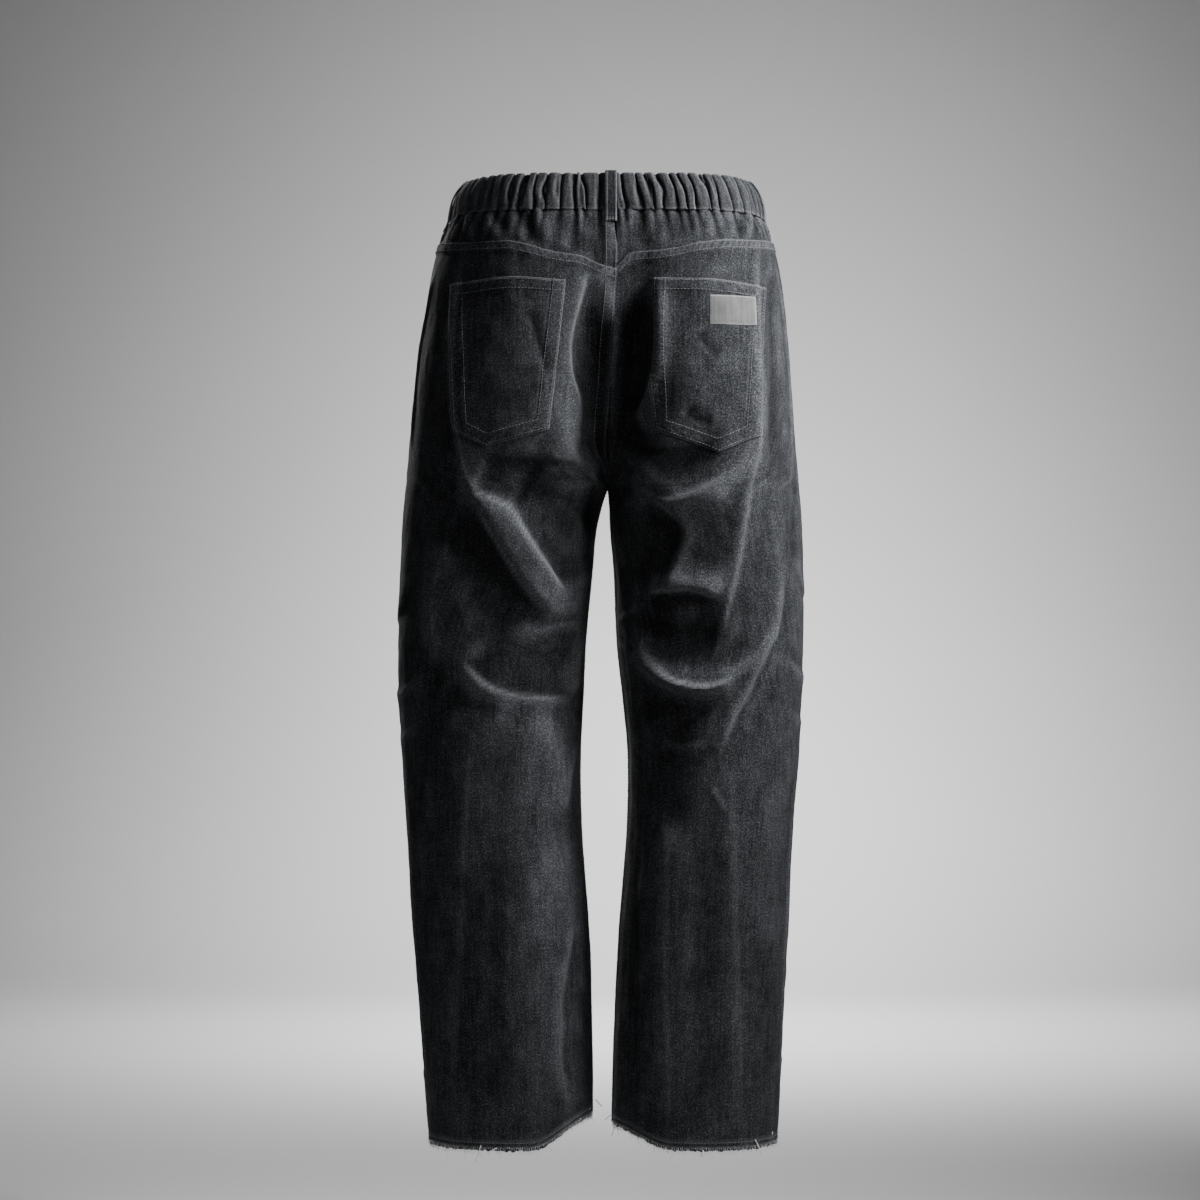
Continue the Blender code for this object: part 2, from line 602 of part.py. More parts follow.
def add_belt_loop(name, skin, share, collection, material):
    """A flat loop that lies over the gathers and is sewn below the waistband."""
    below = BAND_BOTTOM - LOOP_BELOW_BAND
    profile = (  # level, height of the loop's underside over the skin
        (BAND_TOP - 0.5, GATHER_CREST + SEAM_GAP),
        (BAND_TOP - 6.0, GATHER_CREST + 2 * SEAM_GAP),
        (0.0, GATHER_CREST + 3 * SEAM_GAP),
        (BAND_BOTTOM + 2.0, GATHER_CREST + 2 * SEAM_GAP),
        (BAND_BOTTOM - 3.0, 3 * SEAM_GAP),
        (below, 2 * SEAM_GAP),
    )
    levels = np.array([level for level, _ in profile])
    lifts = np.array([lift for _, lift in profile])
    around = float(skin.length_around(0.0))
    offsets = np.array([-0.5, 0.0, 0.5]) * LOOP_WIDTH
    outer, inner = [], []
    for offset in offsets:
        if share == 0.0:
            here = skin.wall_points(np.full(len(levels), abs(offset) / around), levels, lifts)
            there = skin.wall_points(np.full(len(levels), abs(offset) / around), levels, lifts + LOOP_CLOTH)
            for points in (here, there):
                points[:, 0] = BACK_LOOP_X + offset
        else:
            at = np.full(len(levels), share + offset / around)
            here = skin.wall_points(at, levels, lifts)
            there = skin.wall_points(at, levels, lifts + LOOP_CLOTH)
        inner.append(here)
        outer.append(there)
    return wall_object(name, np.stack(outer, 1), np.stack(inner, 1), collection, material)


def thread_mesh(root, direction, length, bend):
    """Points and faces of one loose thread: three sides, tapering, bent a little as it hangs."""
    points, faces = [], []
    for t, size in THREAD_STATIONS:
        centre = root + direction * (length * t) + bend * t * t
        for k in range(3):
            angle = 2 * math.pi * k / 3
            offset = np.array([math.cos(angle), math.sin(angle), 0.0]) * THREAD_WIDTH / 2 * size
            points.append(centre + offset)
    for s in range(len(THREAD_STATIONS) - 1):
        for k in range(3):
            a, b = s * 3 + k, s * 3 + (k + 1) % 3
            faces.append((a, b, b + 3, a + 3))
    end = len(points) - 3
    faces += [(0, 2, 1), (end, end + 1, end + 2)]
    return points, faces


def add_hem_fray(skin, collection, cutters, material):
    """The frayed strip below a raw hem, with its loose threads fused to it."""
    back, _ = panel_grid(skin, "back")
    front, _ = panel_grid(skin, "front")
    shares = np.concatenate([back[-1], front[-1][::-1]])
    top = hem_level(skin, shares) - SEAM_GAP
    ragged = random.Random(5 if skin.side == "left" else 9)
    low = top - FRAY_HEIGHT - np.array([ragged.uniform(0.0, RAGGED) for _ in shares])
    levels = np.array([top, low])
    grid = np.broadcast_to(shares, levels.shape)
    outer = skin.wall_points(grid, levels, 0.0)
    inner = skin.wall_points(grid, levels, -CLOTH)
    strip = wall_object(f"hem_fray_{skin.side}", outer, inner, collection, material, closed=True)
    middle = ((outer + inner) / 2).mean(axis=0)
    outward = (outer - inner).mean(axis=0) / CLOTH
    points, faces = [], []
    for k in range(THREADS):
        at = (k + ragged.uniform(0.15, 0.85)) / THREADS * (len(shares) - 1)
        low_column, part = int(at), at % 1.0
        root = middle[low_column] * (1 - part) + middle[low_column + 1] * part
        length = ragged.uniform(*THREAD_LENGTHS) + 0.5 * FRAY_HEIGHT
        out = outward[low_column]
        along = np.array([-out[1], out[0], 0.0])
        direction = DOWN + out * ragged.uniform(0.0, 0.3) + along * ragged.uniform(-0.5, 0.5)
        bend = out * ragged.uniform(0.0, 3.0) + along * ragged.uniform(-3.0, 3.0)
        thread_points, thread_faces = thread_mesh(root, direction, length, bend)
        faces += [tuple(i + len(points) for i in face) for face in thread_faces]
        points += thread_points
    threads = mesh_object(f"hem_threads_{skin.side}", points, faces, cutters, material)
    threads.hide_render = True
    threads.display_type = "WIRE"
    union = strip.modifiers.new("threads", "BOOLEAN")
    union.operation = "UNION"
    union.solver = "EXACT"
    union.object = threads
    return strip


def cloth_material(name, color, roughness):
    """A plain Principled material for one of the cloths."""
    material = bpy.data.materials.new(name)
    material.use_nodes = True
    shader = material.node_tree.nodes["Principled BSDF"]
    shader.inputs["Base Color"].default_value = (*color, 1.0)
    shader.inputs["Roughness"].default_value = roughness
    shader.inputs["Metallic"].default_value = 0.0
    material.diffuse_color = (*color, 1.0)
    return material


def main():
    """Builds the jeans."""
    for obj in list(bpy.data.objects):
        bpy.data.objects.remove(obj)
    scene = bpy.context.scene
    jeans = bpy.data.collections.new("elastic_waist_jeans")
    cutters = bpy.data.collections.new("cutters")
    scene.collection.children.link(jeans)
    scene.collection.children.link(cutters)
    denim = cloth_material("washed_black_denim", (0.032, 0.033, 0.037), 0.85)
    patch = cloth_material("grey_patch", (0.30, 0.30, 0.30), 0.7)
    fray = cloth_material("frayed_cotton", (0.05, 0.05, 0.055), 0.95)
    skins = {side: Skin(side) for side in ("left", "right")}
    for skin in skins.values():
        for face in ("back", "front"):
            add_leg_panel(skin, face, jeans, denim)
        add_yoke(skin, jeans, denim)
        add_pocket(skin, jeans, cutters, denim)
        add_hem_fray(skin, jeans, cutters, fray)
    add_patch(skins["right"], jeans, cutters, patch)
    for face in ("back", "front"):
        add_waistband(skins, face, jeans, denim)
    for name, (side, share) in LOOPS.items():
        add_belt_loop(name, skins[side], share, jeans, denim)


main()
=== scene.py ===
"""Dresses the elastic waist jeans: washed black denim in its worn, hollow form, seen from the back.

Lengths are in millimetres in the tables and classes, and become metres when a mesh is made. +Z is up, +X is
the wearer's left, and the back faces +Y. A place on the jeans is its share of the way round one side (0 at
the centre back or inseam, 1 at the centre front) and its level. Lines that are seen from the back use
"across", which grows to the wearer's right.
"""

import logging
import math
from dataclasses import dataclass, field
from enum import Enum
from typing import Any, NamedTuple, Sequence

import bmesh
import bpy
import numpy as np
from bpy.types import GeometryNodeTree, Material, Mesh, Node, NodeSocket, NodeTree, Object, ShaderNodeTree
from mathutils import Euler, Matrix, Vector
from mathutils.bvhtree import BVHTree


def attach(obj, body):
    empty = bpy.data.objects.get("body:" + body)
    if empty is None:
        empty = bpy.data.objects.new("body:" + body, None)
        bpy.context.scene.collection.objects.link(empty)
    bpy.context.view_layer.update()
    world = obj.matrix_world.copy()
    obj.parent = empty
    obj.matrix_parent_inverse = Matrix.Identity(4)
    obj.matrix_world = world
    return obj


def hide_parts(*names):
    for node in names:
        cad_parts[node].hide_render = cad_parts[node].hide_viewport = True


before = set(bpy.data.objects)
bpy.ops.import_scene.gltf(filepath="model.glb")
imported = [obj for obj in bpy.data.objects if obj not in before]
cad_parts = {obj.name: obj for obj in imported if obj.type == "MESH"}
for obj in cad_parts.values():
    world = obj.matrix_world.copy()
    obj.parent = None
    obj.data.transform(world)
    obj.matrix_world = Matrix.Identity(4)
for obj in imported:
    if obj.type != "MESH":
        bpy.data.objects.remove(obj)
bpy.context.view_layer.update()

Grid = np.ndarray

MM = 0.001
CLOTH = 1.6
SEAM_GAP = 0.3
CROTCH = -290.0
CROTCH_DEPTH = 4.0
HEM = -960.0
HEM_RISE = {"left": 27.0, "right": 18.0}
HEM_RISE_WIDTH = 62.0
SEAT_CURVE = 112.0
FLY_CURVE = 96.0
SIDE_SEAM_FORWARD = 12.0
BAND_BOTTOM = -18.0
YOKE_CENTRE = -76.0
# Yoke seam seen from the back: distance from the centre plane and height
YOKE_LINES = {
    "left": ((0, -77), (12, -70), (24, -63), (45, -60.5), (57, -59), (76, -53), (97, -47.5), (147, -46.5), (172, -43)),
    "right": ((0, -76), (16, -62), (30, -58), (48, -58), (63, -56), (87, -50), (116, -46), (150, -44.5), (176, -41)),
}
TILT_SLOPE = 0.07
TILT_SAG = 0.0004
LEAN_DEPTH = 80.0
ARC_HANDLE = 0.5523
FULLNESS = 1.06
FRAME_STEPS = 241
ROUND_STEPS = 160

# Level sections: widths and depths from the centre plane
SECTION_COLUMNS = (
    "level", "out_left", "out_right", "in_left", "in_right",
    "back", "back_at", "seat", "front", "front_at", "belly",
)
SECTIONS = (
    (24, 139, 141.5, 0, 0, 96, 52, 97, -92, 48, -93),
    (8, 153, 153, 0, 0, 102, 55, 102, -97, 50, -98),
    (-20, 162.5, 160.5, 0, 0, 108, 60, 106, -101, 52, -102),
    (-45, 174.5, 170, 0, 0, 115, 66, 109, -107, 56, -107),
    (-80, 183, 178, 0, 0, 123, 72, 111, -113, 62, -112),
    (-120, 188.5, 183, 0, 0, 130, 78, 110, -118, 70, -115),
    (-170, 195.5, 187.5, 0, 0, 134, 84, 102, -122, 80, -115),
    (-220, 201, 191, 0, 0, 132, 90, 96, -123, 88, -110),
    (-260, 204.5, 194.5, 0, 0, 126, 95, 93, -122, 94, -106),
    (-290, 207, 197.5, 0, 0, 121, 99, 92, -121, 98, -104),
    (-300, 208, 198.5, 3.5, 1.5, 119, 100, 92, -120, 99, -104),
    (-330, 211, 200.5, 11.5, 3, 113, 104, 92, -118, 102, -104),
    (-380, 214, 202, 16.5, 7, 103, 110, 92, -115, 107, -104),
    (-440, 216, 202.5, 22.5, 9.5, 93, 115, 92, -112, 111, -104),
    (-500, 216, 200.5, 25.5, 15.5, 86, 117, 92, -108, 112, -104),
    (-560, 213.5, 197, 28.5, 21, 84, 116, 92, -104, 111, -104),
    (-640, 208, 191.5, 27.5, 20.5, 84, 113, 92, -98, 108, -104),
    (-740, 201, 186.5, 20.5, 13, 84, 107, 92, -91, 103, -104),
    (-840, 193.5, 180.5, 17, 7.5, 82, 102, 92, -84, 99, -104),
    (-975, 183, 174, 16, 4, 79, 97, 92, -76, 95, -104),
)
INSEAM_DEPTH = ((-290, 4), (-440, -4), (-640, -6), (-975, 2))
SIDE_DEPTH = ((24, 0), (-290, -2), (-640, -8), (-975, 2))
SEAM_LEAN = ((24, -3), (-18, -8), (-80, -9), (-125, -6), (-290, 0))

# The largest folds, the same as in the solids: x0, z0, x1, z1, bow, width, height
FOLDS = {
    ("left", "back"): (
        (152, -468, 28, -494, -16, 10, 1.5), (140, -436, 34, -460, -15, 20, -5), (134, -290, 44, -420, 5, 16, 8),
        (154, -340, 96, -440, 4, 20, -7), (96, -268, 26, -352, 4, 20, -5), (153, -100, 140, -300, -4, 13, 3),
        (170, -350, 170, -476, -9, 14, 4), (28, -88, 20, -240, -17, 12, 3), (17, -122, 10, -275, -5, 16, -9),
        (18, -78, 5, -128, 0, 10, 4), (76, -520, 40, -620, 6, 20, 4), (60, -640, 64, -920, -4, 30, 3),
    ),
    ("right", "back"): (
        (28, -450, 148, -466, 30, 13, 8.5), (34, -438, 112, -434, 13, 21, -9.5), (44, -392, 118, -400, -4, 13, 4.5),
        (16, -262, 150, -256, 42, 16, 7), (18, -246, 112, -252, 16, 17, -6), (150, -170, 112, -420, -12, 13, 4),
        (170, -440, 112, -556, -3, 14, 3.5), (170, -95, 192, -360, 5, 12, -3.5), (46, -90, 26, -240, -10, 12, 4.5),
        (22, -110, 12, -275, -5, 15, -8), (72, -520, 58, -640, 0, 20, -3), (70, -610, 60, -900, 4, 28, 3),
    ),
    ("left", "front"): (
        (150, -120, 60, -250, 12, 20, 4.5), (30, -300, 130, -420, -10, 20, 4.5), (60, -500, 170, -540, 10, 20, -5),
        (120, -640, 108, -900, 5, 28, 4),
    ),
    ("right", "front"): (
        (146, -120, 58, -250, 12, 20, 4.5), (24, -296, 128, -410, -10, 20, 4.5), (52, -490, 160, -536, 10, 20, -5),
        (112, -640, 96, -900, 5, 28, 4),
    ),
}
FOLD_FACING = (0.12, 0.6)
INSEAM_CALM = 32.0
FOLD_RUN_OUT = 0.12
FOLD_END = 0.34


class Face(Enum):
    """Which way a crease faces."""

    BACK = "back"
    FRONT = "front"
    SIDE = "side"


@dataclass(frozen=True)
class Crease:
    """A soft ridge (height above 0) or trough along a line, and a step across it.

    The line's points are (across, height) on the back and front, or (depth, height) on the side. Its slopes
    are as wide as left and right say, on the walker's left and right hand. A step above 0 leaves the cloth
    on the right hand standing out over that on the left.
    """

    side: str
    face: Face
    left: float
    right: float
    height: float
    step: float
    line: Grid


CREASE_EDGE = 2.6
# Rows of left, right, height and step, named as in Crease, then the line's points, two numbers each
CREASE_ROWS = {
    ("left", Face.BACK): (
        (5, 6, 0.9, 1.3, -146, -49, -151, -96, -153, -156, -150, -227, -141, -288, -137, -304),
        (5, 6, 1.2, 1, -142, -277, -128, -307, -114, -353), (6, 7, 0.4, -0.8, -132, -341, -138, -359, -167, -367),
        (5, 6, 0.4, 0.8, -167, -367, -174, -394, -176, -420, -172, -451, -170, -476),
        (15, 44, 1.6, -5, -134, -301, -116, -341, -88, -389, -54, -431),
        (42, 8, -0.8, 4.6, -100, -303, -74, -352, -44, -400), (34, 20, -7.5, 0, -96, -300, -56, -312, -6, -318),
        (10, 12, -2.2, 0, -88, -307, -63, -352, -33, -387), (6, 6, 0.2, 0.9, -62, -419, -46, -411, -28, -408),
        (6, 6, 0.2, 0.9, -70, -439, -52, -431, -30, -429), (6, 6, 0.2, 0.8, -70, -459, -54, -452, -34, -454),
        (28, 8, -2.6, 3.6, -148, -468, -122, -492, -93, -502, -36, -506),
        (8, 14, -1.8, 0, -168, -497, -138, -513, -108, -523), (5, 5, -1.2, 1.2, -25, -493, -38, -511, -29, -534),
        (6, 7, 0.6, 1.3, -29, -549, -38, -587, -44, -623), (11, 9, 1, 1.5, -33, -728, -50, -838, -38, -928),
        (12, 16, 1.2, 0.6, -138, -537, -146, -708, -156, -948), (12, 16, -1.5, 0, -103, -547, -111, -708, -112, -953),
        (9, 11, -0.6, 0, -130, -401, -112, -435, -88, -459), (6, 8, -0.8, 0.4, -162, -407, -146, -443, -134, -459),
        (19, 7, 0.3, 3.3, -28, -76, -41, -139, -39, -181, -25, -212),
        (13, 10, -4.2, 0, -16, -126, -14, -207, -6, -277), (9, 16, -1.6, -1.2, -130, -260, -78, -266, -14, -272),
        (34, 8, -4.6, 3.8, -136, -297, -112, -306, -84, -322), (10, 12, -2, 0.9, -89, -115, -76, -151, -65, -188),
        (12, 9, 1.2, 0, -122, -227, -88, -239, -56, -231), (6, 6, 0.8, 1.2, -48, -307, -23, -327, -10, -367),
    ),
    ("right", Face.BACK): (
        (6, 7, 0.9, 2.2, 149, -51, 149, -146, 149, -247, 144, -277, 137, -327, 129, -377, 121, -416, 108, -467),
        (9, 7, 1, 2.3, 178, -377, 172, -435, 159, -457, 142, -497, 125, -529, 114, -562),
        (5, 6, -1.4, 0, 140, -407, 134, -447, 120, -479), (5, 5, 0.4, 1.2, 106, -594, 121, -619),
        (6, 5, 0.9, 1.2, 5, -299, 9, -337, 19, -377), (5, 5, 0.4, 1.2, 9, -427, 29, -410),
        (5, 5, 0.4, 1.3, 9, -447, 34, -468), (5, 6, 0.4, 1.1, 22, -567, 29, -612),
        (14, 30, 0.6, 3, 24, -285, 56, -304, 92, -294, 110, -281), (24, 18, 0.8, -5, 40, -400, 82, -397, 112, -406),
        (13, 17, 0.8, 5.2, 31, -453, 52, -474, 72, -488, 104, -491, 129, -481),
        (9, 12, -2.4, 0, 32, -509, 64, -521, 106, -517), (8, 9, 0.8, 0.8, 52, -549, 76, -554, 100, -549),
        (12, 16, -1.8, -0.6, 37, -577, 32, -708, 32, -938), (10, 12, 0.9, 0.5, 64, -607, 60, -768, 64, -948),
        (14, 14, 1.1, 0.5, 127, -547, 130, -708, 136, -948), (12, 14, -1.1, 0, 96, -587, 98, -748, 102, -948),
        (9, 18, 0.8, -3.6, 42, -96, 44, -181, 11, -236), (9, 8, -2.8, 0, 26, -126, 22, -187, 5, -257),
        (12, 14, -1.8, 0.8, 82, -141, 94, -159, 108, -169), (12, 12, -1.8, 0.8, 72, -221, 86, -231, 104, -233),
        (16, 26, 0.8, -3.4, 46, -303, 74, -335, 66, -367, 56, -403), (10, 18, -0.8, -2, 14, -243, 56, -257, 104, -253),
        (19, 9, -4, 0, 14, -269, 52, -283, 90, -277), (7, 8, -2.6, 1.4, 160, -70, 164, -187, 160, -277),
        (7, 9, -2.2, 1.2, 184, -130, 190, -250, 184, -380),
    ),
    ("left", Face.FRONT): (
        (8, 10, 0.6, -2.2, -18, -262, -62, -240, -124, -222), (8, 10, 0.6, -2.4, -24, -290, -70, -272, -130, -268),
        (8, 10, 0.5, -1.8, -30, -322, -72, -312, -118, -318), (10, 9, 0.8, 1.6, -66, -60, -58, -140, -40, -220),
        (13, 14, 0.6, -2.6, -40, -486, -90, -502, -152, -488), (9, 12, 0.4, -1.8, -48, -536, -92, -546, -140, -530),
        (9, 12, 0.9, 1.8, -150, -330, -128, -400, -96, -452), (12, 12, 1.3, 1, -120, -610, -112, -760, -118, -930),
        (12, 12, -1.4, 0.8, -60, -640, -66, -800, -58, -930), (9, 10, 0.4, -1.5, -40, -872, -86, -888, -130, -880),
    ),
    ("right", Face.FRONT): (
        (8, 10, 0.6, 2.2, 16, -258, 60, -244, 118, -218), (8, 10, 0.6, 2.3, 22, -284, 66, -276, 126, -262),
        (8, 10, 0.5, 1.8, 28, -316, 70, -318, 112, -308), (9, 10, 0.8, -1.6, 70, -70, 60, -150, 38, -226),
        (13, 14, 0.6, 2.6, 34, -478, 86, -496, 150, -480), (9, 12, 0.4, 1.8, 44, -528, 84, -540, 128, -534),
        (12, 9, 0.9, -1.8, 146, -340, 122, -404, 84, -450), (12, 12, 1.3, -1, 112, -600, 104, -770, 110, -930),
        (12, 12, -1.4, 0.8, 54, -630, 58, -790, 50, -930), (9, 10, 0.4, 1.5, 38, -880, 80, -868, 122, -878),
    ),
    ("left", Face.SIDE): (
        (9, 9, 0.9, 1.4, 46, -70, 30, -160, 36, -262), (9, 9, 0.8, -1.4, -50, -90, -40, -180, -54, -270),
        (10, 12, 0.2, 0.9, 62, -380, 18, -420, -30, -436), (12, 14, 0.6, -1, 70, -476, 20, -500, -48, -492),
        (9, 12, 0.1, -0.8, 56, -530, 8, -548, -40, -536), (12, 12, 1.2, 1, 30, -610, 24, -760, 34, -930),
        (12, 12, -1.3, 0.8, -36, -620, -44, -780, -32, -930), (9, 10, 0.1, -0.7, 48, -876, 4, -890, -44, -880),
    ),
    ("right", Face.SIDE): (
        (9, 9, 0.9, 1.4, 48, -64, 38, -170, 44, -280), (9, 9, 0.8, -1.4, -46, -84, -52, -190, -44, -290),
        (10, 12, 0.2, 0.9, 58, -366, 20, -396, -36, -410), (12, 14, 0.6, -1, 66, -462, 12, -484, -50, -470),
        (9, 12, 0.1, -0.8, 52, -516, 6, -530, -46, -522), (12, 12, 1.2, 1, 26, -600, 32, -770, 22, -930),
        (12, 12, -1.3, 0.8, -40, -610, -34, -790, -42, -930), (9, 10, 0.1, -0.7, 44, -884, 0, -872, -46, -884),
    ),
}
CREASES = [
    Crease(side, face, *row[:4], np.reshape(row[4:], (-1, 2)))
    for (side, face), rows in CREASE_ROWS.items() for row in rows
]

LOOPS = {
    "belt_loop_back": ("left", 0.0),
    "belt_loop_side_left": ("left", 0.475),
    "belt_loop_side_right": ("right", 0.475),
    "belt_loop_front_left": ("left", 0.82),
    "belt_loop_front_right": ("right", 0.82),
}

# Back pockets seen from the back: x is the distance from the centre plane
POCKETS = {
    "left": ((42, -88), (158, -90), (152, -238), (122, -254), (59, -237)),
    "right": ((45, -86), (160, -93), (149, -242), (110, -260), (46, -237)),
}
POCKET_CLOTH = 1.3


def smoothstep(value: Any) -> Grid:
    """0 to 1 with flat ends."""
    t = np.clip(value, 0.0, 1.0)
    return t * t * (3 - 2 * t)


def bump(distance: Grid, width: float) -> Grid:
    """1 on a line, falling smoothly to 0 beside it."""
    return np.exp(-((distance / width) ** 2))


def curve_through(levels: Sequence[float], values: Sequence[float], at: Any) -> Grid:
    """Reads a cubic curve through a table's points.

    Args:
        levels: where the points lie.
        values: their values.
        at: where the curve is read.

    Returns:
        The curve's values.
    """
    order = np.argsort(levels)
    x, y = np.asarray(levels, float)[order], np.asarray(values, float)[order]
    slopes = np.gradient(y, x)
    at = np.clip(at, x[0], x[-1])
    i = np.clip(np.searchsorted(x, at) - 1, 0, len(x) - 2)
    h = x[i + 1] - x[i]
    t = (at - x[i]) / h
    return (
        y[i] * (1 + 2 * t) * (1 - t) ** 2
        + slopes[i] * h * t * (1 - t) ** 2
        + y[i + 1] * t * t * (3 - 2 * t)
        + slopes[i + 1] * h * t * t * (t - 1)
    )


def column(name: str, at: Any) -> Grid:
    """A named column of the sections, read at some levels."""
    index = SECTION_COLUMNS.index(name)
    return curve_through([row[0] for row in SECTIONS], [row[index] for row in SECTIONS], at)


def bezier(p0: Grid, p1: Grid, p2: Grid, p3: Grid, t: Grid) -> Grid:
    """Points of a cubic Bezier piece."""
    t = t[:, None]
    return (1 - t) ** 3 * p0 + 3 * t * (1 - t) ** 2 * p1 + 3 * t * t * (1 - t) * p2 + t**3 * p3


class Ripple:
    """Smooth random height over a plane, the same on each run."""

    SIZE = 64

    def __init__(self, seed: int) -> None:
        """Fills the table of heights.

        Args:
            seed: picks the pattern.
        """
        self.table = np.random.default_rng(seed).uniform(-1.0, 1.0, (self.SIZE, self.SIZE))

    def at(self, u: Grid, v: Grid, step_u: float, step_v: float) -> Grid:
        """Heights at some places.

        Args:
            u: first coordinate.
            v: second coordinate.
            step_u: size of a bump along u.
            step_v: size of a bump along v.

        Returns:
            Heights from -1 to 1.
        """
        a, b = np.asarray(u, float) / step_u, np.asarray(v, float) / step_v
        i, j = np.floor(a).astype(int), np.floor(b).astype(int)
        s, t = smoothstep(a - i), smoothstep(b - j)
        near, far = i % self.SIZE, (i + 1) % self.SIZE
        low, high = j % self.SIZE, (j + 1) % self.SIZE
        return (self.table[near, low] * (1 - s) + self.table[far, low] * s) * (1 - t) + (
            self.table[near, high] * (1 - s) + self.table[far, high] * s
        ) * t


def passed_along(points: Grid) -> Grid:
    """Length of a line passed at each of its points."""
    return np.concatenate([[0.0], np.cumsum(np.linalg.norm(np.diff(points, axis=0), axis=1))])


def unit(vectors: Grid) -> Grid:
    """Vectors of length 1."""
    return vectors / np.linalg.norm(vectors, axis=-1, keepdims=True)


def line_distance(points: Grid, x: Grid, y: Grid) -> tuple[Grid, Grid]:
    """Distance of places from a line of points.

    Args:
        points: the line's points, one (x, y) a row.
        x: first coordinate of the places.
        y: second coordinate of the places.

    Returns:
        The distance, above 0 on the walker's left hand, and the share of the line's length passed.
    """
    spans = np.linalg.norm(np.diff(points, axis=0), axis=1)
    passed = np.concatenate([[0.0], np.cumsum(spans)])
    best = np.full(x.shape, np.inf)
    signed = np.zeros(x.shape)
    share = np.zeros(x.shape)
    for k, span in enumerate(spans):
        dx, dy = (points[k + 1] - points[k]) / span
        px, py = x - points[k][0], y - points[k][1]
        t = np.clip(px * dx + py * dy, 0.0, span)
        away = np.hypot(px - t * dx, py - t * dy)
        closer = away < best
        best = np.where(closer, away, best)
        signed = np.where(closer, np.where(dx * py - dy * px >= 0, away, -away), signed)
        share = np.where(closer, (passed[k] + t) / passed[-1], share)
    return signed, share


def smooth_line(line: Any, steps: int = 5) -> Grid:
    """A line through some points, rounded at its corners.

    Args:
        line: the points.
        steps: places made between two points.

    Returns:
        The finer line, one (x, y) a row.
    """
    points = np.asarray(line, float)
    if len(points) < 3:
        return points
    at = np.arange(len(points), dtype=float)
    fine = np.linspace(0, len(points) - 1, (len(points) - 1) * steps + 1)
    return np.stack([curve_through(at, points[:, k], fine) for k in range(2)], axis=1)


